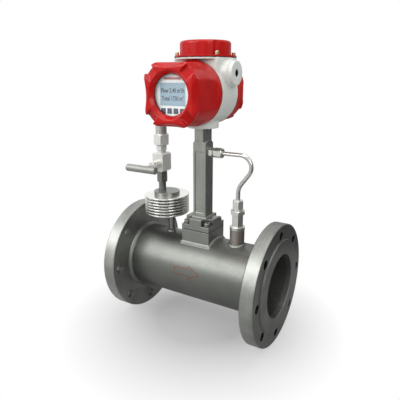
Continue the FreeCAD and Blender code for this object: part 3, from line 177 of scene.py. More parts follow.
@dataclass(frozen=True)
class Finish:
    """A surface finish. The base class gives an even one, and each kind adds its own marks."""

    name: str
    colour: str
    roughness: float
    metallic: float = 0.0

    def material(self) -> bpy.types.Material:
        """Make the material, or find the one already made.

        Returns:
            The material with this finish's name.
        """
        found = bpy.data.materials.get(self.name)
        if found:
            return found
        made = bpy.data.materials.new(self.name)
        made.use_nodes = True
        tree = made.node_tree
        shader = tree.nodes["Principled BSDF"]
        shader.inputs["Base Color"].default_value = linear(self.colour)
        shader.inputs["Roughness"].default_value = self.roughness
        shader.inputs["Metallic"].default_value = self.metallic
        made.diffuse_color = linear(self.colour)
        self.marks(tree, shader, add_node(tree, "ShaderNodeTexCoord", {}).outputs["Object"])
        return made

    def marks(self, tree: bpy.types.NodeTree, shader: bpy.types.Node, place: bpy.types.NodeSocket) -> None:
        """Add the finish's pattern.

        Args:
            tree: The material's nodes.
            shader: Its Principled node.
            place: Position on the piece, in metres.
        """

    def tint(self, tree: bpy.types.NodeTree, shader: bpy.types.Node, amount: bpy.types.NodeSocket,
             dark: str, light: str) -> bpy.types.NodeSocket:
        """Colour the surface between two tones.

        Args:
            tree: The material's nodes.
            shader: Its Principled node.
            amount: Zero for the dark tone, one for the light tone.
            dark: The dark tone.
            light: The light tone.

        Returns:
            The mixed colour.
        """
        mix = add_node(tree, "ShaderNodeMix", {0: amount, 6: linear(dark), 7: linear(light)},
                       data_type="RGBA")
        tree.links.new(mix.outputs[2], shader.inputs["Base Color"])
        return mix.outputs[2]

    def broken_edge(self, tree: bpy.types.NodeTree, radius: float) -> bpy.types.NodeSocket:
        """Surface direction that turns smoothly across an edge, as on a broken or painted edge.

        Args:
            tree: The material's nodes.
            radius: Radius of the edge, in millimetres.

        Returns:
            The direction.
        """
        return add_node(tree, "ShaderNodeBevel", {"Radius": radius * MM}, samples=6).outputs["Normal"]

    def rubbed_and_highlight(self, tree: bpy.types.NodeTree, turned_by: bpy.types.NodeSocket) -> bpy.types.NodeSocket:
        """How far a place is rubbed bright and given a painted highlight: one on an edge, falling to zero on
        the flat beside it.

        Args:
            tree: The material's nodes.
            turned_by: The direction that a broken edge gives.

        Returns:
            The amount.
        """
        flat = add_node(tree, "ShaderNodeNewGeometry", {}).outputs["Normal"]
        match = add_node(tree, "ShaderNodeVectorMath", {0: turned_by, 1: flat}, operation="DOT_PRODUCT")
        return add_node(tree, "ShaderNodeMapRange",
                        {"Value": match.outputs["Value"], "From Min": 0.8, "From Max": 0.985, "To Min": 1.0,
                         "To Max": 0.0}).outputs["Result"]


@dataclass(frozen=True)
class MachinedSteel(Finish):
    """Steel that a tool or a belt has marked: a satin face whose fine lines run one way."""

    light: str = "#808080"
    streak: Streak = Streak.BLASTED
    line: float = 1.2  # width of a tool mark, coarser than a real one so that it shows
    grain: float = 0.7  # blasted grain, drawn coarse for the same reason
    depth: float = 0.02
    spread: float = 0.10  # how far the roughness wanders
    edge: float = 0.6  # radius of a broken edge, rubbed to the light tone as wear and as a painted highlight
    face: str = ""  # tone multiplied onto the faces that look along the flow, where it differs: a duller faced finish with painted shade added
    hole_shade: str = "#FFFFFF"  # painted shade multiplied onto the bolt holes' walls
    bolt_room: float = 1.0  # how far that tone reaches past a hole's edge

    def marks(self, tree: bpy.types.NodeTree, shader: bpy.types.Node, place: bpy.types.NodeSocket) -> None:
        """Add tool marks along the streak, a blasted grain, edges lightened as rubbed wear and as a painted
        highlight, and their roughness.
        """
        parts = add_node(tree, "ShaderNodeSeparateXYZ", {0: place})
        x, y, z = (parts.outputs[i] for i in range(3))
        if self.streak is Streak.AROUND_FLOW:
            flat = add_node(tree, "ShaderNodeCombineXYZ", {0: y, 1: z})
            radius = add_node(tree, "ShaderNodeVectorMath", {0: flat.outputs[0]}, operation="LENGTH")
            along = add_node(tree, "ShaderNodeCombineXYZ", {0: x, 1: radius.outputs["Value"]}).outputs[0]
        elif self.streak is Streak.UPRIGHT:
            slow = add_node(tree, "ShaderNodeMath", {0: z, 1: 0.02}, operation="MULTIPLY")
            along = add_node(tree, "ShaderNodeCombineXYZ", {0: x, 1: y, 2: slow.outputs[0]}).outputs[0]
        else:
            along = place
        lines = add_node(tree, "ShaderNodeTexNoise",
                         {"Vector": along, "Scale": per_mm(self.line), "Detail": 2.0, "Roughness": 0.6})
        cloud = add_node(tree, "ShaderNodeTexNoise",
                         {"Vector": place, "Scale": per_mm(45.0), "Detail": 2.0})
        grain = add_node(tree, "ShaderNodeTexNoise",
                         {"Vector": place, "Scale": per_mm(self.grain), "Detail": 1.0})
        blend = add_node(tree, "ShaderNodeMath", {0: lines.outputs["Fac"], 1: cloud.outputs["Fac"]},
                         operation="ADD")
        tone = add_node(tree, "ShaderNodeMapRange",
                        {"Value": blend.outputs[0], "From Min": 0.7, "From Max": 1.3})
        round_edge = self.broken_edge(tree, self.edge)
        rubbed_and_highlight_mask = self.rubbed_and_highlight(tree, round_edge)
        colour = self.tint(tree, shader, tone.outputs["Result"], self.colour, self.light)
        # Faces along the flow take a duller faced finish with painted shade, and bolt holes take painted
        # shade.
        if self.face:
            colour = self.faced_finish_and_shade(tree, colour, place)
        # Edges go to the light tone: rubbed wear, with a painted highlight on the edge.
        worn_and_highlit = add_node(tree, "ShaderNodeMix", {0: rubbed_and_highlight_mask, 6: colour, 7: linear(self.light)}, data_type="RGBA")
        tree.links.new(worn_and_highlit.outputs[2], shader.inputs["Base Color"])
        rough = add_node(tree, "ShaderNodeMapRange",
                         {"Value": lines.outputs["Fac"], "From Min": 0.3, "From Max": 0.7,
                          "To Min": self.roughness - self.spread, "To Max": self.roughness + self.spread})
        tree.links.new(rough.outputs["Result"], shader.inputs["Roughness"])
        rise = add_node(tree, "ShaderNodeMath", {0: lines.outputs["Fac"], 1: grain.outputs["Fac"]},
                        operation="ADD")
        bump = add_node(tree, "ShaderNodeBump",
                        {"Height": rise.outputs[0], "Strength": 0.5, "Distance": self.depth * MM,
                         "Normal": round_edge})
        tree.links.new(bump.outputs["Normal"], shader.inputs["Normal"])

    def faced_finish_and_shade(self, tree: bpy.types.NodeTree, colour: bpy.types.NodeSocket,
                  place: bpy.types.NodeSocket) -> bpy.types.NodeSocket:
        """Darken faces that look along the flow, as a duller faced finish with painted shade added, and paint
        shade on the walls of the bolt holes.

        Args:
            tree: The material's nodes.
            colour: The colour that the rim keeps.
            place: Position on the piece, in metres.

        Returns:
            The colour with both darkened.
        """
        facing = add_node(tree, "ShaderNodeSeparateXYZ",
                          {0: add_node(tree, "ShaderNodeNewGeometry", {}).outputs["Normal"]})
        along = add_node(tree, "ShaderNodeMath", {0: facing.outputs[0]}, operation="ABSOLUTE")
        amount = add_node(tree, "ShaderNodeMapRange",
                          {"Value": along.outputs[0], "From Min": 0.5, "From Max": 0.95})
        mix = add_node(tree, "ShaderNodeMix", {0: amount.outputs["Result"], 6: colour, 7: linear(self.face)},
                       data_type="RGBA", blend_type="MULTIPLY")
        across = add_node(tree, "ShaderNodeVectorMath", {0: place, 1: (0.0, 1.0, 1.0)}, operation="MULTIPLY")
        reach = add_node(tree, "ShaderNodeVectorMath", {0: across.outputs[0]}, operation="LENGTH")
        band = add_node(tree, "ShaderNodeMath",
                        {0: reach.outputs["Value"], 1: BOLT_R * MM, 2: (HOLE_R + self.bolt_room) * MM},
                        operation="COMPARE")
        wall = add_node(tree, "ShaderNodeMath", {0: along.outputs[0], 1: 0.5}, operation="LESS_THAN")
        hole_shade_mask = add_node(tree, "ShaderNodeMath", {0: band.outputs[0], 1: wall.outputs[0]},
                        operation="MULTIPLY")
        # Painted shade on the bolt holes' walls.
        dark = add_node(tree, "ShaderNodeMix",
                        {0: hole_shade_mask.outputs[0], 6: mix.outputs[2], 7: linear(self.hole_shade)},
                        data_type="RGBA", blend_type="MULTIPLY")
        return dark.outputs[2]


@dataclass(frozen=True)
class CastPaint(Finish):
    """Powder coat on a casting: an even colour under a faint orange peel that softens its gloss."""

    shade: str = "#808080"
    peel: float = 2.2  # spacing of the orange peel
    depth: float = 0.03
    coat: float = 0.0
    gloss: float = 0.5  # strength of the paint's own reflection

    def marks(self, tree: bpy.types.NodeTree, shader: bpy.types.Node, place: bpy.types.NodeSocket) -> None:
        """Add the orange peel, a slow change of tone, and the coat's gloss."""
        shader.inputs["Coat Weight"].default_value = self.coat
        shader.inputs["Coat Roughness"].default_value = 0.06
        shader.inputs["Specular IOR Level"].default_value = self.gloss
        cloud = add_node(tree, "ShaderNodeTexNoise", {"Vector": place, "Scale": per_mm(30.0), "Detail": 2.0})
        tone = add_node(tree, "ShaderNodeMapRange",
                        {"Value": cloud.outputs["Fac"], "From Min": 0.35, "From Max": 0.65})
        self.tint(tree, shader, tone.outputs["Result"], self.shade, self.colour)
        peel = add_node(tree, "ShaderNodeTexNoise",
                        {"Vector": place, "Scale": per_mm(self.peel), "Detail": 1.0})
        rough = add_node(tree, "ShaderNodeMapRange",
                         {"Value": peel.outputs["Fac"], "From Min": 0.3, "From Max": 0.7,
                          "To Min": self.roughness - 0.04, "To Max": self.roughness + 0.05})
        tree.links.new(rough.outputs["Result"], shader.inputs["Roughness"])
        bump = add_node(tree, "ShaderNodeBump",
                        {"Height": peel.outputs["Fac"], "Strength": 0.35, "Distance": self.depth * MM})
        tree.links.new(bump.outputs["Normal"], shader.inputs["Normal"])


@dataclass(frozen=True)
class Moulded(Finish):
    """Moulded rubber or plastic: a dull skin with a fine tooth."""

    shade: str = "#808080"
    tooth: float = 0.6
    depth: float = 0.03

    def marks(self, tree: bpy.types.NodeTree, shader: bpy.types.Node, place: bpy.types.NodeSocket) -> None:
        """Add the fine tooth and the small change of tone that it gives."""
        tooth = add_node(tree, "ShaderNodeTexNoise",
                         {"Vector": place, "Scale": per_mm(self.tooth), "Detail": 2.0})
        self.tint(tree, shader, tooth.outputs["Fac"], self.shade, self.colour)
        bump = add_node(tree, "ShaderNodeBump",
                        {"Height": tooth.outputs["Fac"], "Strength": 0.4, "Distance": self.depth * MM})
        tree.links.new(bump.outputs["Normal"], shader.inputs["Normal"])


@dataclass(frozen=True)
class FloatGlass(Finish):
    """Clear toughened glass: it shows what is behind it and a soft reflection."""

    def marks(self, tree: bpy.types.NodeTree, shader: bpy.types.Node, place: bpy.types.NodeSocket) -> None:
        """Make the glass clear, with the gloss of a wiped pane."""
        shader.inputs["Transmission Weight"].default_value = 1.0
        shader.inputs["IOR"].default_value = 1.5
        wipe = add_node(tree, "ShaderNodeTexNoise", {"Vector": place, "Scale": per_mm(20.0)})
        rough = add_node(tree, "ShaderNodeMapRange",
                         {"Value": wipe.outputs["Fac"], "To Min": 0.0, "To Max": self.roughness})
        tree.links.new(rough.outputs["Result"], shader.inputs["Roughness"])


@dataclass(frozen=True)
class LiquidCrystal(Finish):
    """Reflective display panel: a pale blue-grey field with a fine pixel grid and its own faint light."""

    shade: str = "#808080"
    pixel: float = 0.9  # coarser than a real pixel so that the grid shows
    glow: float = 0.12

    def marks(self, tree: bpy.types.NodeTree, shader: bpy.types.Node, place: bpy.types.NodeSocket) -> None:
        """Add the pixel grid and the backlight."""
        grid = add_node(tree, "ShaderNodeTexChecker", {"Vector": place, "Scale": per_mm(self.pixel)})
        cloud = add_node(tree, "ShaderNodeTexNoise", {"Vector": place, "Scale": per_mm(40.0)})
        mixed = add_node(tree, "ShaderNodeMath", {0: grid.outputs["Fac"], 1: cloud.outputs["Fac"]},
                         operation="MULTIPLY")
        self.tint(tree, shader, mixed.outputs[0], self.colour, self.shade)
        shader.inputs["Emission Color"].default_value = linear(self.colour)
        shader.inputs["Emission Strength"].default_value = self.glow


# Finishes

# Rolled carbon steel tube, blasted and oiled: dark, with a broad soft highlight.
TUBE_STEEL = MachinedSteel("blasted_tube_steel", "#6C6E6A", 0.40, 0.9, light="#787A75", line=3.0)
# Forged flange, turned on a lathe: bright lines round the rim, and faces with rings.
FLANGE_STEEL = MachinedSteel("turned_flange_steel", "#7E807C", 0.42, 0.9, light="#ACAEA9",
                             streak=Streak.AROUND_FLOW, line=0.9, depth=0.05, spread=0.12, face="#F4F4F4")
# The same flange as a shaded copy: painted shade all over, most on its bolting face and in its bolt holes.
PAINTED_SHADE_FLANGE = MachinedSteel("painted_shade_flange_steel", "#767874", 0.38, 0.9, light="#A0A29D", edge=1.3,
                             streak=Streak.AROUND_FLOW, line=0.9, depth=0.05, spread=0.12, face="#B4B4B4",
                             hole_shade="#808080")
# Milled steel blocks, blasted even.
BLOCK_STEEL = MachinedSteel("blasted_block_steel", "#848682", 0.38, 0.95, light="#969893", line=1.5)
# Bright drawn bar, belt brushed lengthwise.
COLUMN_STEEL = MachinedSteel("brushed_column_steel", "#8F918B", 0.34, 0.95, light="#A6A8A1",
                             streak=Streak.UPRIGHT, line=0.8, edge=1.2)
# Weld metal, brushed after welding: a little brighter than the steel round it.
WELD_STEEL = MachinedSteel("brushed_weld_steel", "#737571", 0.38, 0.92, light="#83857F", line=2.0)
# Dark steel of the riser.
DARK_STEEL = MachinedSteel("oiled_dark_steel", "#80827E", 0.30, 0.95, light="#92948F", line=1.2)
# Heat tinted steel of the welded socket: a little brown.
TINTED_STEEL = MachinedSteel("heat_tinted_steel", "#968C86", 0.46, 0.9, light="#A69D97", line=1.2)
# Turned stainless fittings: clean, with a bright stripe and dark flanks.
TURNED = MachinedSteel("turned_stainless_steel", "#C8C8C4", 0.33, 0.9, light="#D8D8D4", line=0.7, depth=0.003,
                       spread=0.03, edge=0.4)
# Bead blasted stainless of the valve: pale, even and soft.
STAINLESS = MachinedSteel("blasted_stainless_steel", "#D0D0CC", 0.40, 0.58, light="#E0E0DC", line=0.7,
                          depth=0.003, spread=0.03, edge=0.4)
# Satin stainless of the handle bar.
SATIN = MachinedSteel("satin_stainless_steel", "#8C8C88", 0.48, 0.7, light="#989894", line=0.7, depth=0.004,
                      spread=0.04, edge=0.4)
# Cooling fin, polished: its rims catch the light as bright rings.
FIN_STEEL = MachinedSteel("polished_fin_steel", "#E6E6E2", 0.22, 0.94, light="#F2F2EE", line=1.0, depth=0.002,
                          spread=0.03, edge=0.3)
# Polished stainless of the pressure sensor and the conduit: a bright stripe down the side.
POLISHED = MachinedSteel("polished_stainless_steel", "#C8C7C3", 0.24, 0.9, light="#D6D5D1", line=4.0,
                         depth=0.002, spread=0.03)
# Plain cap screws, brighter than the block that they hold.
SCREW_STEEL = MachinedSteel("plain_screw_steel", "#7E807C", 0.34, 0.95, light="#9A9C98", line=1.0)
# Yellow passivated brass of the small screws.
BRASS = MachinedSteel("pale_brass", "#CDBE94", 0.34, 0.9, light="#DACCA6", line=0.8)
# Glossy red powder coat on aluminium.
RED_PAINT = CastPaint("red_powder_coat", "#AE0906", 0.34, shade="#A20705", gloss=0.12, coat=0.30)
# Light grey powder coat on aluminium.
GREY_PAINT = CastPaint("grey_powder_coat", "#C9CCC7", 0.42, shade="#C2C5C0", coat=0.25)
# Nitrile rubber.
RUBBER = Moulded("black_nitrile_rubber", "#1B1B1B", 0.62, shade="#131313")
# Pressed fibre gasket.
GASKET = Moulded("pressed_fibre_gasket", "#3C3E3A", 0.8, shade="#2C2E2A", tooth=1.2)
# Clear glass.
GLASS = FloatGlass("toughened_glass", "#FFFFFF", 0.04)
# Reflective display.
LCD = LiquidCrystal("liquid_crystal_panel", "#7D94A1", 0.35, shade="#748B98", glow=0.13)
# Dark crystal of the figures.
LCD_INK = Moulded("liquid_crystal_figures", "#161D24", 0.5, shade="#10161C")
# Screen printed red rule on the plate.
RULE_INK = Moulded("red_screen_print", "#A8504A", 0.5, shade="#9C4640", tooth=0.9, depth=0.01)
# Satin polycarbonate plate.
PLATE = Moulded("satin_polycarbonate_plate", "#D6D8D6", 0.45, shade="#CFD1CF", tooth=0.8, depth=0.01)
# Silicone keys.
KEYS = Moulded("navy_silicone_keys", "#2B2D4A", 0.5, shade="#26283F")
# Potting compound and module shell.
MODULE = Moulded("module_plastic", "#2E3032", 0.55, shade="#28292B")
# Glass fibre board under green solder mask.
BOARD = Moulded("solder_mask_board", "#1E5A3A", 0.4, shade="#174A2F", tooth=1.5)
# Etched and filled line of the flow arrow.
ARROW_INK = Moulded("etched_arrow_filling", "#7A3C10", 0.6, shade="#6A300A", tooth=0.8)


# Meshes


def settle(name: str, mesh: bpy.types.Mesh, finish: Finish, body: str) -> bpy.types.Object:
    """Put a mesh in the scene as a finished piece.

    Args:
        name: The piece's name.
        mesh: Its mesh, in metres in the row frame.
        finish: Its finish.
        body: The body it rides on.

    Returns:
        The piece.
    """
    mesh.polygons.foreach_set("use_smooth", np.ones(len(mesh.polygons), bool))
    mesh.set_sharp_from_angle(angle=SMOOTH)
    mesh.materials.clear()
    mesh.materials.append(finish.material())
    piece = bpy.data.objects.new(name, mesh)
    bpy.context.scene.collection.objects.link(piece)
    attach(piece, body)
    LOG.info("piece %s: %d faces, %s", name, len(mesh.polygons), finish.name)
    return piece


def grid_quads(rows: int, cols: int, wrap_rows: bool, wrap_cols: bool) -> np.ndarray:
    """Corner numbers of a grid's quads.

    Args:
        rows: Points along the first parameter.
        cols: Points along the second parameter.
        wrap_rows: Whether the last row joins the first.
        wrap_cols: Whether the last column joins the first.

    Returns:
        One row of four point numbers for each quad.
    """
    row, col = np.meshgrid(np.arange(rows if wrap_rows else rows - 1),
                           np.arange(cols if wrap_cols else cols - 1), indexing="ij")
    next_row = (row + 1) % rows
    next_col = (col + 1) % cols
    quads = [row * cols + col, next_row * cols + col, next_row * cols + next_col, row * cols + next_col]
    return np.stack(quads, axis=-1).reshape(-1, 4)


def surface(name: str, grids: list[np.ndarray], wrap_rows: bool, capped: bool = False) -> bpy.types.Mesh:
    """Make a closed mesh from grids of points whose columns each go round a section.

    Args:
        name: The mesh's name.
        grids: Arrays of rows, columns and three coordinates, in millimetres.
        wrap_rows: Whether each grid's last row joins its first.
        capped: Whether the first and last rows are filled as faces.

    Returns:
        The mesh, in metres, with its doubles merged and its faces outwards.
    """
    points: list[np.ndarray] = []
    faces: list[list[int]] = []
    start = 0
    for grid in grids:
        rows, cols = grid.shape[:2]
        points.append(grid.reshape(-1, 3))
        faces += (grid_quads(rows, cols, wrap_rows, True) + start).tolist()
        if capped:
            faces.append((np.arange(cols) + start).tolist())
            faces.append((np.arange(cols) + start + (rows - 1) * cols).tolist())
        start += rows * cols
    mesh = bpy.data.meshes.new(name)
    mesh.from_pydata((np.concatenate(points) * MM).tolist(), [], faces)
    work = bmesh.new()
    work.from_mesh(mesh)
    bmesh.ops.remove_doubles(work, verts=work.verts, dist=1e-6)
    bmesh.ops.dissolve_degenerate(work, edges=work.edges, dist=1e-7)
    bmesh.ops.recalc_face_normals(work, faces=work.faces)
    work.to_mesh(mesh)
    work.free()
    return mesh


def ripple_bead(toe: np.ndarray, top: np.ndarray, root: np.ndarray, crown: float, pitch: float,
                depth: float) -> np.ndarray:
    """Section of a fillet weld carried round a closed path.

    Across the bead a point goes from toe to top, lifted off that line by crown times the sine of half a turn.
    Along it, the lift gains depth times a squared cosine whose phase lags towards the bead's edges, which
    stacks the ripples like coins.

    Args:
        toe: Points where the bead ends on the base, one for each step along the path.
        top: Points where it ends on the upright.
        root: Points inside the corner.
        crown: Lift of the bead's middle.
        pitch: Length of one ripple.
        depth: Height of a ripple.

    Returns:
        Grid of steps along the path and points round the section.
    """
    across = np.linspace(0.0, 1.0, 8)[None, :, None]
    step = np.linalg.norm(np.roll(toe, -1, axis=0) - toe, axis=1)
    length = np.concatenate([[0.0], np.cumsum(step)])
    count = max(1, round(length[-1] / pitch))
    phase = length[:-1] / length[-1] * count
    out = (toe + top) / 2 - root
    out = out / np.linalg.norm(out, axis=1, keepdims=True)
    lag = 0.6 * (2.0 * across - 1.0) ** 2
    wave = (0.5 + 0.5 * np.cos(2.0 * np.pi * (phase[:, None, None] + lag))) ** 2
    hump = np.sin(np.pi * across)
    skin = toe[:, None, :] * (1.0 - across) + top[:, None, :] * across
    skin = skin + out[:, None, :] * hump * (crown + depth * wave)
    return np.concatenate([skin, root[:, None, :]], axis=1)


def square_path(half: float, step: float, turn_steps: int) -> tuple[np.ndarray, np.ndarray]:
    """Walk round a square, turning at each corner.

    Args:
        half: Half of the square's side.
        step: Length between points on a side.
        turn_steps: Points at each corner, where only the direction turns.

    Returns:
        Points on the square, and the outward direction at each.
    """
    count = max(2, round(2 * half / step))
    run = np.linspace(-half, half, count)
    side = np.stack([np.full(count, half), run], axis=1)
    angles = np.concatenate([np.zeros(count), np.linspace(0.0, np.pi / 2, turn_steps + 2)[1:-1]])
    points = np.concatenate([side, np.full((turn_steps, 2), half)])
    quarter = np.arange(4) * np.pi / 2
    cos, sin = np.cos(quarter)[:, None], np.sin(quarter)[:, None]
    x = points[:, 0] * cos - points[:, 1] * sin
    y = points[:, 0] * sin + points[:, 1] * cos
    facing = (angles[None, :] + quarter[:, None]).reshape(-1)
    outward = np.stack([np.cos(facing), np.sin(facing)], axis=1)
    return np.stack([x.reshape(-1), y.reshape(-1)], axis=1), outward


def saddle_bead(centre: float, base: np.ndarray, facing: np.ndarray, leg: float, pitch: float) -> np.ndarray:
    """Weld round an upright that stands on the tube's crown.

    The height of the tube at a point is the root of its radius squared less its sideways reach squared.

    Args:
        centre: The upright's place along the flow.
        base: Points round the upright's foot.
        facing: Outward direction at each point.
        leg: Leg of the fillet.
        pitch: Length of one ripple.

    Returns:
        Grid for the bead.
    """
    def on_tube(place: np.ndarray, radius: float) -> np.ndarray:
        """Raise flat points onto a cylinder about the flow axis."""
        height = np.sqrt(radius**2 - place[:, 1] ** 2)
        return np.column_stack([place[:, 0] + centre, place[:, 1], height])

    toe = on_tube(base + facing * leg, TUBE_R)
    top = on_tube(base, TUBE_R + leg)
    root = on_tube(base - facing * SINK, TUBE_R - SINK)
    return ripple_bead(toe, top, root, 0.05 * leg, pitch, 0.09 * leg)


def turned(profile: list[tuple[float, float]], centre: tuple[float, float], steps: int, teeth: int = 0,
           knurl: float = 0.0, hexed: tuple[int, ...] = ()) -> np.ndarray:
    """Upright turned shape whose rows may be knurled or six-sided.

    A row's radius is its profile radius, plus the knurl times the cosine of the tooth count times the angle
    where the profile has its full radius. In a six-sided row it is divided by the cosine of the angle from
    the nearest flat.

    Args:
        profile: Radius and height of each row.
        centre: X and Y of the axis.
        steps: Points round the axis.
        teeth: Knurl teeth round the rim.
        knurl: Height of the knurl.
        hexed: Rows that are six-sided.

    Returns:
        Grid of rows and points round the axis.
    """
    rows = np.array(profile)
    angle = np.linspace(0.0, 2.0 * np.pi, steps, endpoint=False)
    radius = np.repeat(rows[:, :1], steps, axis=1)
    rim = np.isclose(rows[:, 0], rows[:, 0].max())
    radius = radius + np.outer(rim, knurl * (np.cos(teeth * angle) - 1.0))
    flat = np.mod(angle + np.pi / 6, np.pi / 3) - np.pi / 6
    sided = np.isin(np.arange(len(rows)), hexed)
    radius = np.where(sided[:, None], radius / np.cos(flat)[None, :], radius)
    height = np.repeat(rows[:, 1:], steps, axis=1)
    return np.stack([centre[0] + radius * np.cos(angle), centre[1] + radius * np.sin(angle), height], axis=-1)


def helix(section: np.ndarray, pitch: float, turns: float, steps: int, start: float) -> np.ndarray:
    """Section carried along a helix about the Z axis.

    At an angle, a point of the section is at its own radius, and at its own height plus the pitch times the
    turns made so far.

    Args:
        section: Radius and height of each point round the section.
        pitch: Rise in one turn.
        turns: Length of the helix in turns.
        steps: Rows in each turn.
        start: Angle of the first row.

    Returns:
        Grid of rows along the helix and points round the section.
    """
    made = np.linspace(0.0, turns, max(2, round(turns * steps)))[:, None]
    angle = start + 2.0 * np.pi * made
    radius, height = section[None, :, 0], section[None, :, 1]
    return np.stack([radius * np.cos(angle), radius * np.sin(angle), height + pitch * made], axis=-1)


def joined(node: str, flatten: bool) -> bpy.types.Mesh:
    """Copy a CAD node's mesh, join its triangles and clear its flat faces of inner edges.

    Args:
        node: The CAD node.
        flatten: Whether flat faces lose their inner edges.

    Returns:
        The joined mesh, without the normals that came with the triangles.
    """
    work = bmesh.new()
    work.from_mesh(frame["nodes"][node].data)
    bmesh.ops.remove_doubles(work, verts=work.verts, dist=2e-6)
    if flatten:
        bmesh.ops.dissolve_limit(work, angle_limit=math.radians(0.4), verts=work.verts, edges=work.edges)
    mesh = bpy.data.meshes.new(node + "_skin")
    work.to_mesh(mesh)
    work.free()
    stale = mesh.attributes.get("custom_normal")
    if stale:
        mesh.attributes.remove(stale)
    return mesh


def dress(node: str, finish: Finish, edge: float = 0.0) -> bpy.types.Object:
    """Finish a CAD node: smooth its round faces and break its edges.

    Args:
        node: The CAD node.
        finish: Its finish.
        edge: Round on its edges, or zero for none.

    Returns:
        The piece that stands for the node.
    """
    mesh = joined(node, edge > 0)
    piece = settle(node + "_skin", mesh, finish, body_of(node))
    if edge > 0:
        bevel = piece.modifiers.new("edges", "BEVEL")
        bevel.width = edge * MM
        bevel.segments = 2
        bevel.limit_method = "ANGLE"
        bevel.angle_limit = SMOOTH
        bevel.use_clamp_overlap = False
        bevel.loop_slide = False
        bevel.harden_normals = True
    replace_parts(piece, node)
    return piece


def spread(mesh: bpy.types.Mesh, now: list[float], then: list[float]) -> None:
    """Move a mesh's points towards or away from the display's axis.

    A point's new distance from the axis is read at its old one on the line through the given pairs.

    Args:
        mesh: The mesh, in metres.
        now: Distances as they are, rising.
        then: What each becomes.
    """
    flat = np.empty(len(mesh.vertices) * 3)
    mesh.vertices.foreach_get("co", flat)
    points = flat.reshape(-1, 3) / MM
    out = (points - middle("window_glass")) * np.array([1.0, 0.0, 1.0])
    reach = np.linalg.norm(out, axis=1, keepdims=True)
    points = points + out * (np.interp(reach, now, then) / np.maximum(reach, 1e-6) - 1.0)
    mesh.vertices.foreach_set("co", (points * MM).reshape(-1))
    mesh.update()


def cast(node: str, finish: Finish, step: float, passes: int, thin: tuple[float, float, float] | None = None
         ) -> bpy.types.Object:
    """Finish a CAD node that is a painted casting, whose edges are all soft.

    The joined copy is divided into even quads, and each pass moves every point half of the way to the mean of
    its neighbours, which rounds an edge and leaves a flat where it is. Even quads would break through a thin
    wall, so its inside is drawn in by one quad before that and goes back out after it.

    Args:
        node: The CAD node.
        finish: Its finish.
        step: Side of a quad.
        passes: How many times the points move.
        thin: Radius inside a thin wall's step, of the wall's inside and of its outside, where there is one.

    Returns:
        The piece that stands for the node.
    """
    source = joined(node, False)
    far = 10.0 * float(half_size(node).max())
    real = [0.0, thin[0], thin[1], thin[2], far] if thin else []
    drawn = [0.0, thin[0], thin[1] - step, thin[2], far] if thin else []
    if thin:
        spread(source, real, drawn)
    rough = bpy.data.objects.new(node + "_rough", source)
    bpy.context.scene.collection.objects.link(rough)
    even = rough.modifiers.new("even", "REMESH")
    even.mode = "VOXEL"
    even.voxel_size = step * MM
    soft = rough.modifiers.new("soft", "SMOOTH")
    soft.factor = 0.5
    soft.iterations = passes
    bpy.context.view_layer.update()
    mesh = bpy.data.meshes.new_from_object(rough.evaluated_get(bpy.context.evaluated_depsgraph_get()))
    bpy.data.objects.remove(rough)
    if thin:
        spread(mesh, drawn, real)
    piece = settle(node + "_skin", mesh, finish, body_of(node))
    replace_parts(piece, node)
    return piece


def coat(node: str, finish: Finish) -> bpy.types.Object:
    """Give a CAD node that stays as it is a finish.

    Args:
        node: The CAD node.
        finish: Its finish.

    Returns:
        The node's object.
    """
    piece = frame["nodes"][node]
    piece.data.materials.clear()
    piece.data.materials.append(finish.material())
    return piece


# Sub-assemblies


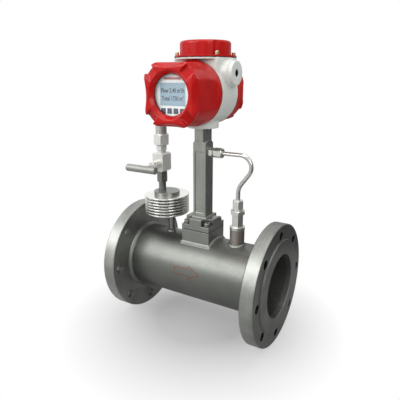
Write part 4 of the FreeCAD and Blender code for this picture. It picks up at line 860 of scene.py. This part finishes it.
@dataclass
class PipeRun:
    """Tube, flanges, their welds, the bluff body and the flow arrow."""

    ripple: float = 2.4  # length of one ripple in a weld
    tap_leg: float = 3.5
    arrow_lift: float = 13.5  # arrow's middle above the tube's front, along its surface
    arrow_tail: float = -29.0
    arrow_neck: float = 3.0
    arrow_tip: float = 30.6
    arrow_half: float = 7.0
    arrow_barb: float = 13.5
    arrow_line: float = 1.3

    def build(self) -> None:
        """Dress the pipe run's nodes and add its new pieces."""
        dress("flow_tube", TUBE_STEEL)
        dress("inlet_flange", FLANGE_STEEL, 0.5)
        dress("outlet_flange", PAINTED_SHADE_FLANGE, 0.5)
        dress("bluff_body", BLOCK_STEEL, 0.4)
        self.flange_beads()
        self.tap_beads()
        self.arrow()

    def flange_beads(self) -> None:
        """Weld behind each flange: a fillet carried round the tube, in place of the plain ring."""
        angle = np.linspace(0.0, 2.0 * np.pi, 1600, endpoint=False)
        ring = np.stack([np.zeros_like(angle), np.cos(angle), np.sin(angle)], axis=1)
        along = np.array([1.0, 0.0, 0.0])
        leg = corners("flange_welds")[1][2] - TUBE_R
        grids = []
        for back, inward in ((corners("inlet_flange")[1][0], 1.0), (corners("outlet_flange")[0][0], -1.0)):
            toe = ring * TUBE_R + along * (back + inward * leg)
            top = ring * (TUBE_R + leg) + along * back
            root = ring * (TUBE_R - SINK) + along * (back - inward * SINK)
            grids.append(ripple_bead(toe, top, root, 0.2, self.ripple, 0.3))
        mesh = surface("flange_beads", grids, True)
        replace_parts(settle("flange_beads", mesh, WELD_STEEL, "meter"), "flange_welds")

    def tap_beads(self) -> None:
        """Welds round the pressure stub and the temperature socket."""
        pitch = 0.8 * self.ripple
        grids = []
        for node in ("pressure_stub", "temperature_socket"):
            radius = half_size(node)[0]
            angle = np.linspace(0.0, 2.0 * np.pi, round(30 * radius), endpoint=False)
            facing = np.stack([np.cos(angle), np.sin(angle)], axis=1)
            grids.append(saddle_bead(middle(node)[0], facing * radius, facing, self.tap_leg, pitch))
        piece = settle("tap_beads", surface("tap_beads", grids, True), WELD_STEEL, "meter")
        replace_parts(piece, "tap_welds")

    def arrow(self) -> None:
        """Outline of a flow arrow, wrapped on the tube.

        Each corner is moved in and out along the mitre of its two sides by half the line's width. A point's
        height above the arrow's middle is an arc on the tube, so its angle is that arc over the radius.
        """
        outline = np.array([
            (self.arrow_tail, -self.arrow_half), (self.arrow_neck, -self.arrow_half),
            (self.arrow_neck, -self.arrow_barb), (self.arrow_tip, 0.0), (self.arrow_neck, self.arrow_barb),
            (self.arrow_neck, self.arrow_half), (self.arrow_tail, self.arrow_half),
        ])
        side = np.roll(outline, -1, axis=0) - outline
        side = side / np.linalg.norm(side, axis=1, keepdims=True)
        normal = np.stack([side[:, 1], -side[:, 0]], axis=1)
        before = np.roll(normal, 1, axis=0)
        mitre = (before + normal) / (1.0 + np.sum(before * normal, axis=1, keepdims=True))
        share = np.linspace(0.0, 1.0, 14, endpoint=False)[None, :, None]
        lines = []
        for reach in (-0.5, 0.5):
            edge = outline + mitre * (reach * self.arrow_line)
            ahead = np.roll(edge, -1, axis=0)
            stretch = edge[:, None, :] * (1 - share) + ahead[:, None, :] * share
            lines.append(stretch.reshape(-1, 2))
        inner, outer = lines
        loop = []
        for line, lift in ((inner, -0.1), (inner, 0.12), (outer, 0.12), (outer, -0.1)):
            angle = (self.arrow_lift + line[:, 1]) / TUBE_R
            radius = TUBE_R + lift
            across, up = -radius * np.cos(angle), radius * np.sin(angle)
            loop.append(np.stack([X_MID + line[:, 0], across, up], axis=1))
        mesh = surface("flow_arrow", [np.stack(loop, axis=1)], True)
        settle("flow_arrow", mesh, ARROW_INK, "meter")


@dataclass
class Neck:
    """Seat, neck flange, cap screws, column and the hexagon under the head."""

    ripple: float = 2.1
    head_r: float = 6.5
    head_h: float = 8.0
    shank_r: float = 3.7
    key_half: float = 3.0

    def build(self) -> None:
        """Dress the neck's nodes and add its welds and screws."""
        dress("sensor_seat", BLOCK_STEEL, 0.5)
        dress("seat_gasket", GASKET)
        dress("neck_flange", BLOCK_STEEL, 0.6)
        dress("neck_column", COLUMN_STEEL, 0.5)
        dress("neck_adapter", COLUMN_STEEL, 0.6)
        coat("vortex_probe", STAINLESS)
        self.seat_bead()
        self.column_bead()
        self.screws()

    def seat_bead(self) -> None:
        """Weld round the seat, where its square foot meets the tube."""
        half = half_size("sensor_seat")[0]
        base, facing = square_path(half, 0.3, 10)
        grid = saddle_bead(X_MID, base, facing, half_size("seat_weld")[0] - half, self.ripple)
        piece = settle("seat_bead", surface("seat_bead", [grid], True), WELD_STEEL, "meter")
        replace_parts(piece, "seat_weld")

    def column_bead(self) -> None:
        """Weld round the column's foot, flat on the neck flange."""
        half = half_size("neck_column")[0]
        leg = half_size("neck_weld")[0] - half
        base, facing = square_path(half, 0.3, 8)
        base = base + np.array([X_MID, 0.0])
        level = np.full(len(base), corners("neck_column")[0][2])
        toe = np.column_stack([base + facing * leg, level])
        top = np.column_stack([base + facing * 0.2, level + leg])
        root = np.column_stack([base - facing * SINK, level - SINK])
        grid = ripple_bead(toe, top, root, 0.15, self.ripple, 0.25)
        piece = settle("column_bead", surface("column_bead", [grid], True), WELD_STEEL, "meter")
        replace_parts(piece, "neck_weld")

    def screws(self) -> None:
        """Four cap screws with knurled heads and hexagon sockets."""
        foot, high = corners("neck_screws")[0][2], corners("neck_screws")[1][2]
        low = high - self.head_h
        floor = high - self.head_h / 2
        inset = self.head_r - 0.8
        profile = [(0.0, foot), (self.shank_r, foot), (self.shank_r, low), (self.head_r - 0.4, low),
                   (self.head_r, low + 0.5), (self.head_r, high - 1.2), (inset, high),
                   (self.key_half * 1.25, high), (self.key_half, high - 0.3), (self.key_half, floor),
                   (0.0, floor - 0.6)]
        place = half_size("neck_screws")[0] - self.head_r
        grids = []
        for x in (-place, place):
            for y in (-place, place):
                grids.append(turned(profile, (X_MID + x, y), 144, 36, 0.12, (8, 9)))
        mesh = surface("neck_cap_screws", grids, False)
        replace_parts(settle("neck_cap_screws", mesh, SCREW_STEEL, "meter"), "neck_screws")


@dataclass
class PressureBranch:
    """Stub, finned cooler, needle valve, pressure sensor and the elbow into the head."""

    fin_t: float = 3.4
    fin_nose: float = 0.5  # crown on the fin's rim
    fin_pitch: float = 6.2
    fin_turns: float = 7.5
    fin_end: float = 160.0

    def build(self) -> None:
        """Dress the branch's nodes and add its fin."""
        dress("pressure_stub", BLOCK_STEEL)
        dress("cooler_drum", BLOCK_STEEL, 0.8)
        dress("riser_tube", DARK_STEEL)
        dress("valve_inlet", DARK_STEEL)
        dress("valve_body", STAINLESS, 0.6)
        dress("valve_bonnet", STAINLESS, 0.5)
        dress("packing_nut", STAINLESS)
        dress("valve_stem", STAINLESS, 0.4)
        dress("valve_handle", SATIN, 0.5)
        dress("valve_outlet", STAINLESS, 0.3)
        dress("union_nut", STAINLESS)
        dress("pressure_sensor", POLISHED, 0.5)
        dress("sensor_elbow", TURNED)
        dress("elbow_nut", TURNED)
        coat("valve_needle", STAINLESS)
        self.fin()

    def fin(self) -> None:
        """Cooling fin: a flat strip with a rounded rim, carried up the drum along a helix."""
        half = self.fin_t / 2
        bend = np.linspace(-np.pi / 2, np.pi / 2, 9)
        nose_r = half_size("cooling_fin")[0] - self.fin_nose
        rim = np.stack([nose_r + self.fin_nose * np.cos(bend), half + half * np.sin(bend)], axis=1)
        foot = half_size("cooler_drum")[0] - 0.2
        root = np.array([(foot, self.fin_t), (foot, 0.0)])
        turns = self.fin_turns - self.fin_t / self.fin_pitch
        grid = helix(np.concatenate([rim, root]), self.fin_pitch, turns, 128, math.radians(self.fin_end))
        grid = grid + np.array([middle("cooling_fin")[0], 0.0, corners("cooling_fin")[0][2]])
        mesh = surface("cooling_strip", [grid], False, True)
        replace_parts(settle("cooling_strip", mesh, FIN_STEEL, "meter"), "cooling_fin")


@dataclass
class TemperatureBranch:
    """Socket, probe fitting and the bent conduit to the column."""

    def build(self) -> None:
        """Dress the branch's nodes."""
        dress("temperature_socket", TINTED_STEEL, 0.5)
        dress("probe_fitting", TURNED)
        dress("probe_nut", TURNED)
        dress("conduit_tube", POLISHED)
        dress("conduit_fitting", POLISHED)
        dress("conduit_nut", POLISHED)
        coat("temperature_probe", STAINLESS)


@dataclass
class Head:
    """Housing, covers, window, display, top cap and cable entry."""

    thread_pitch: float = 2.0
    thread_turns: float = 4.0
    thread_rise: float = 0.27  # thread's crest above the spigot
    thread_half: float = 0.75  # half of a thread's foot
    crest_half: float = 0.1  # half of its crest
    thread_start: float = 1.4  # first thread past the seal
    seal_step: float = 3.6  # thread's root inside the seal's outside
    figure: float = 8.0  # height of a line of figures
    figure_weight: float = 0.2  # swell of its strokes
    figure_stretch: float = 1.3  # the display's letters are taller than wide
    rule_w: float = 38.0
    rule_h: float = 4.0
    rule_rise: float = 5.2  # printed rule above the display panel
    screw_r: float = 3.8
    screw_h: float = 6.5
    screw_shank: float = 1.9
    screw_key: float = 1.6  # half across its socket's flats
    screw_socket: float = 3.0  # its socket's depth
    body_step: float = 1.35  # quads of the housing
    body_passes: int = 5
    cover_step: float = 1.2  # quads of the covers
    cover_passes: int = 12
    chamber_r: float = 51.0  # inside of a cover
    thread_r: float = 54.4  # its thread
    flat_r: float = 55.0  # its flat sides

    def build(self) -> None:
        """Dress the head's nodes and add its figures, threads and screws."""
        cast("housing", GREY_PAINT, self.body_step, self.body_passes)
        cast("front_cover", RED_PAINT, self.cover_step, self.cover_passes)
        cast("rear_cover", RED_PAINT, self.cover_step, self.cover_passes,
             (self.chamber_r, self.thread_r, self.flat_r))
        dress("top_cap", RED_PAINT, 0.5)
        dress("top_cap_gasket", RUBBER)
        dress("front_cover_seal", RUBBER, 0.4)
        dress("rear_cover_seal", RUBBER, 0.4)
        dress("window_gasket", RUBBER)
        dress("window_retainer", STAINLESS)
        dress("cable_bush", RUBBER, 0.5)
        pane = dress("window_glass", GLASS)
        pane.visible_shadow = False
        dress("display_plate", PLATE, 0.15)
        dress("lcd_panel", LCD)
        for key in range(1, 5):
            dress(f"key_{key}", KEYS, 0.5)
        coat("electronics_module", MODULE)
        coat("display_board", BOARD)
        coat("terminal_block", MODULE)
        self.figures()
        self.printed_rule()
        self.threads()
        self.cap_screws()

    def figures(self) -> None:
        """Two lines of figures with their units on the display panel."""
        rows = (("rate_figures", "Flow 2.40 m³/h", 6.0), ("total_figures", "Total 1730 m³", -7.5))
        for name, words, drop in rows:
            curve = bpy.data.curves.new(name, "FONT")
            curve.body = words
            curve.size = self.figure * MM
            curve.extrude = 0.03 * MM
            curve.offset = self.figure_weight * MM
            curve.align_x = "CENTER"
            text = bpy.data.objects.new(name, curve)
            bpy.context.scene.collection.objects.link(text)
            bpy.context.view_layer.update()
            mesh = bpy.data.meshes.new_from_object(text.evaluated_get(bpy.context.evaluated_depsgraph_get()))
            bpy.data.objects.remove(text)
            flat = np.empty(len(mesh.vertices) * 3)
            mesh.vertices.foreach_get("co", flat)
            flat = flat.reshape(-1, 3)
            centre = middle("lcd_panel")
            face = corners("lcd_panel")[0][1]
            base = np.array([X_MID, face - 0.05, centre[2] + drop - self.figure * 0.35]) * MM
            placed = np.stack([flat[:, 0], -flat[:, 2], flat[:, 1] * self.figure_stretch], axis=1) + base
            mesh.vertices.foreach_set("co", placed.reshape(-1))
            mesh.update()
            settle(name, mesh, LCD_INK, "meter")

    def printed_rule(self) -> None:
        """Plain red rule with round ends, printed on the plate above the display panel."""
        end = self.rule_h / 2
        turn = np.linspace(-np.pi / 2, np.pi / 2, 13)
        right = np.stack([self.rule_w / 2 - end + end * np.cos(turn), end * np.sin(turn)], axis=1)
        ring = np.concatenate([right, -right])
        level = corners("lcd_panel")[1][2] + self.rule_rise
        face = corners("display_plate")[0][1]
        loops = [np.column_stack([X_MID + ring[:, 0], np.full(len(ring), face + step), level + ring[:, 1]])
                 for step in (0.02, -0.05)]
        mesh = surface("printed_rule", [np.stack(loops)], False, True)
        settle("printed_rule", mesh, RULE_INK, "meter")

    def threads(self) -> None:
        """Screw threads on the housing's two spigots, seen when a cover is unscrewed."""
        seals = {-1.0: corners("front_cover_seal")[0][1], 1.0: corners("rear_cover_seal")[1][1]}
        axis_z = middle("window_glass")[2]
        root = half_size("front_cover_seal")[2] - self.seal_step
        crest = root + SINK + self.thread_rise
        section = np.array([(root, -self.thread_half), (crest, -self.crest_half), (crest, self.crest_half),
                            (root, self.thread_half)])
        grids = []
        for outward, start in seals.items():
            grid = helix(section, self.thread_pitch, self.thread_turns, 120, 0.0)
            x, y, z = grid[..., 0], grid[..., 1], grid[..., 2]
            depth = start + outward * (self.thread_start + z)
            grids.append(np.stack([X_MID + x, depth, axis_z + outward * y], axis=-1))
        mesh = surface("spigot_threads", grids, False, True)
        settle("spigot_threads", mesh, GREY_PAINT, "meter")

    def cap_screws(self) -> None:
        """Four brass screws that hold the top cap, with hexagon sockets."""
        foot, high = corners("top_cap_screws")[0][2], corners("top_cap_screws")[1][2]
        low = high - self.screw_h
        floor = high - self.screw_socket
        profile = [(0.0, foot), (self.screw_shank, foot), (self.screw_shank, low), (self.screw_r - 0.2, low),
                   (self.screw_r, low + 0.2), (self.screw_r, high - 0.7), (self.screw_r - 0.7, high),
                   (self.screw_key * 1.25, high), (self.screw_key, high - 0.3), (self.screw_key, floor),
                   (0.0, floor - 0.4)]
        centre = middle("top_cap_screws")
        place = half_size("top_cap_screws") - self.screw_r
        grids = []
        for x in (-place[0], place[0]):
            for y in (-place[1], place[1]):
                grids.append(turned(profile, (centre[0] + x, centre[1] + y), 96, 24, 0.08, (8, 9)))
        piece = settle("cap_screws", surface("cap_screws", grids, False), BRASS, "meter")
        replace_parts(piece, "top_cap_screws")


# Studio


@dataclass(frozen=True)
class Softbox:
    """A square area lamp."""

    name: str
    place: tuple[float, float, float]
    aim: tuple[float, float, float]
    side: float
    power: float

    def hang(self) -> None:
        """Add the lamp and turn it to what it lights."""
        data = bpy.data.lights.new(self.name, "AREA")
        data.shape = "SQUARE"
        data.size = self.side
        data.energy = self.power
        lamp = bpy.data.objects.new(self.name, data)
        lamp.location = self.place
        lamp.rotation_euler = (Vector(self.aim) - Vector(self.place)).to_track_quat("-Z", "Y").to_euler()
        bpy.context.scene.collection.objects.link(lamp)


@dataclass
class Studio:
    """Camera, lamps, white backdrop and pale floor."""

    eye: tuple[float, float, float] = (0.6053, -0.7263, 0.3993)
    target: tuple[float, float, float] = (0.1675, 0.0, 0.1502)
    lens: float = 37.78
    floor_r: float = 560.0
    floor_mirror: float = 0.15  # share of the floor's white that metal shows
    fade_near: float = 100.0  # the floor starts to fade this far from the neck's axis
    fade_far: float = 310.0  # and is white from here
    fade_least: float = 0.27  # white in it before it fades
    ambient: float = 0.72
    bright_side: tuple[float, float, float] = (-0.6, -0.2, 0.77)  # where the white reflectors stand
    dark_side: float = 0.14  # level of the far side, where there are none
    strips: float = 9.0  # reflectors round the compass
    strip_turn: float = 0.8  # how far they are turned
    gap: float = 0.35  # level between two of them

    def build(self) -> None:
        """Set the view, the light, the backdrop and the floor."""
        scene = bpy.context.scene
        scene.view_settings.view_transform = "Standard"
        data = bpy.data.cameras.new("view")
        data.lens = self.lens
        data.sensor_width = 36.0
        camera = bpy.data.objects.new("view", data)
        camera.location = self.eye
        camera.rotation_euler = (Vector(self.target) - Vector(self.eye)).to_track_quat("-Z", "Y").to_euler()
        scene.collection.objects.link(camera)
        scene.camera = camera
        aim = (X_MID * MM, 0.0, 0.2)
        Softbox("key", (-0.9, -1.7, 1.55), aim, 1.9, 42.0).hang()
        Softbox("top", (0.2, 0.0, 2.1), aim, 1.4, 15.0).hang()
        Softbox("right", (1.8, -1.2, 1.2), aim, 1.0, 12.0).hang()
        self.backdrop(scene)
        self.floor()

    def backdrop(self, scene: bpy.types.Scene) -> None:
        """White to the camera, reflectors with gaps between them in what metal sees, and a dim light.

        What metal and glass see in a direction is the dark level, plus the rest of the way to one as that
        direction turns to the bright side. That is dimmed in the gaps: the sine of the strip count times the
        compass angle runs between the gap's level and one, and the gaps close towards the ceiling.

        Args:
            scene: The scene that gets the world.
        """
        world = bpy.data.worlds.new("backdrop")
        world.use_nodes = True
        tree = world.node_tree
        path = add_node(tree, "ShaderNodeLightPath", {})
        way = add_node(tree, "ShaderNodeTexCoord", {}).outputs["Generated"]
        turn = add_node(tree, "ShaderNodeVectorMath", {0: way, 1: self.bright_side}, operation="DOT_PRODUCT")
        wall = add_node(tree, "ShaderNodeMapRange",
                        {"Value": turn.outputs["Value"], "From Min": -0.7, "From Max": 0.3,
                         "To Min": self.dark_side})
        parts = add_node(tree, "ShaderNodeSeparateXYZ", {0: way})
        compass = add_node(tree, "ShaderNodeMath", {0: parts.outputs[1], 1: parts.outputs[0]},
                           operation="ARCTAN2")
        wave = add_node(tree, "ShaderNodeMath", {0: compass.outputs[0], 1: self.strips, 2: self.strip_turn},
                        operation="MULTIPLY_ADD")
        wave = add_node(tree, "ShaderNodeMath", {0: wave.outputs[0]}, operation="SINE")
        gap = add_node(tree, "ShaderNodeMapRange",
                       {"Value": parts.outputs[2], "From Min": 0.35, "From Max": 0.8, "To Min": self.gap})
        strip = add_node(tree, "ShaderNodeMapRange",
                         {"Value": wave.outputs[0], "From Min": -0.6, "From Max": 0.2,
                          "To Min": gap.outputs["Result"]})
        wall = add_node(tree, "ShaderNodeMath", {0: wall.outputs["Result"], 1: strip.outputs["Result"]},
                        operation="MULTIPLY")
        mirror = add_node(tree, "ShaderNodeMath",
                          {0: path.outputs["Is Glossy Ray"], 1: path.outputs["Is Transmission Ray"]},
                          operation="MAXIMUM")
        lit = add_node(tree, "ShaderNodeMix", {0: mirror.outputs[0], 2: self.ambient, 3: wall.outputs[0]})
        level = add_node(tree, "ShaderNodeMath", {0: lit.outputs[0], 1: path.outputs["Is Camera Ray"]},
                         operation="MAXIMUM")
        tree.links.new(level.outputs[0], tree.nodes["Background"].inputs["Strength"])
        tree.nodes["Background"].inputs["Color"].default_value = (1.0, 1.0, 1.0, 1.0)
        scene.world = world

    def floor(self) -> None:
        """Round pale floor that takes the shadow and fades to white at its edge."""
        rows = np.linspace(0.0, 1.0, 24)[:, None]
        angle = np.linspace(0.0, 2.0 * np.pi, 96, endpoint=False)[None, :]
        reach = self.floor_r * rows
        base = corners("inlet_flange")[0][2]
        level = np.full(np.broadcast(rows, angle).shape, base)
        grid = np.stack([X_MID + reach * np.cos(angle), reach * np.sin(angle), level], axis=-1)
        mesh = surface("floor", [grid], False)
        made = bpy.data.materials.new("pale_floor")
        made.use_nodes = True
        tree = made.node_tree
        shader = tree.nodes["Principled BSDF"]
        shader.inputs["Base Color"].default_value = linear("#9A9A9A")
        shader.inputs["Roughness"].default_value = 0.7
        white = add_node(tree, "ShaderNodeEmission", {"Strength": 1.0})
        path = add_node(tree, "ShaderNodeLightPath", {})
        seen = add_node(tree, "ShaderNodeMath",
                        {0: path.outputs["Is Camera Ray"], 1: path.outputs["Is Transmission Ray"]},
                        operation="MAXIMUM")
        dimmer = add_node(tree, "ShaderNodeMath", {0: path.outputs["Is Glossy Ray"], 1: self.floor_mirror},
                          operation="MULTIPLY")
        seen = add_node(tree, "ShaderNodeMath", {0: seen.outputs[0], 1: dimmer.outputs[0]},
                        operation="MAXIMUM")
        place = add_node(tree, "ShaderNodeTexCoord", {})
        out = add_node(tree, "ShaderNodeVectorMath",
                       {0: place.outputs["Object"], 1: (X_MID * MM, 0.0, base * MM)}, operation="DISTANCE")
        fade = add_node(tree, "ShaderNodeMapRange",
                        {"Value": out.outputs["Value"], "From Min": self.fade_near * MM,
                         "From Max": self.fade_far * MM, "To Min": self.fade_least})
        share = add_node(tree, "ShaderNodeMath", {0: fade.outputs["Result"], 1: seen.outputs[0]},
                         operation="MULTIPLY")
        mix = add_node(tree, "ShaderNodeMixShader",
                       {0: share.outputs[0], 1: shader.outputs[0], 2: white.outputs[0]})
        tree.links.new(mix.outputs[0], tree.nodes["Material Output"].inputs["Surface"])
        mesh.materials.append(made)
        floor = bpy.data.objects.new("floor", mesh)
        bpy.context.scene.collection.objects.link(floor)


def main() -> None:
    logging.basicConfig(level=logging.INFO, format="%(message)s")
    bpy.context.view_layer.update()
    Studio().build()
    for assembly in (PipeRun(), Neck(), PressureBranch(), TemperatureBranch(), Head()):
        LOG.info("building %s", type(assembly).__name__)
        assembly.build()


if __name__ == "__main__":
    main()
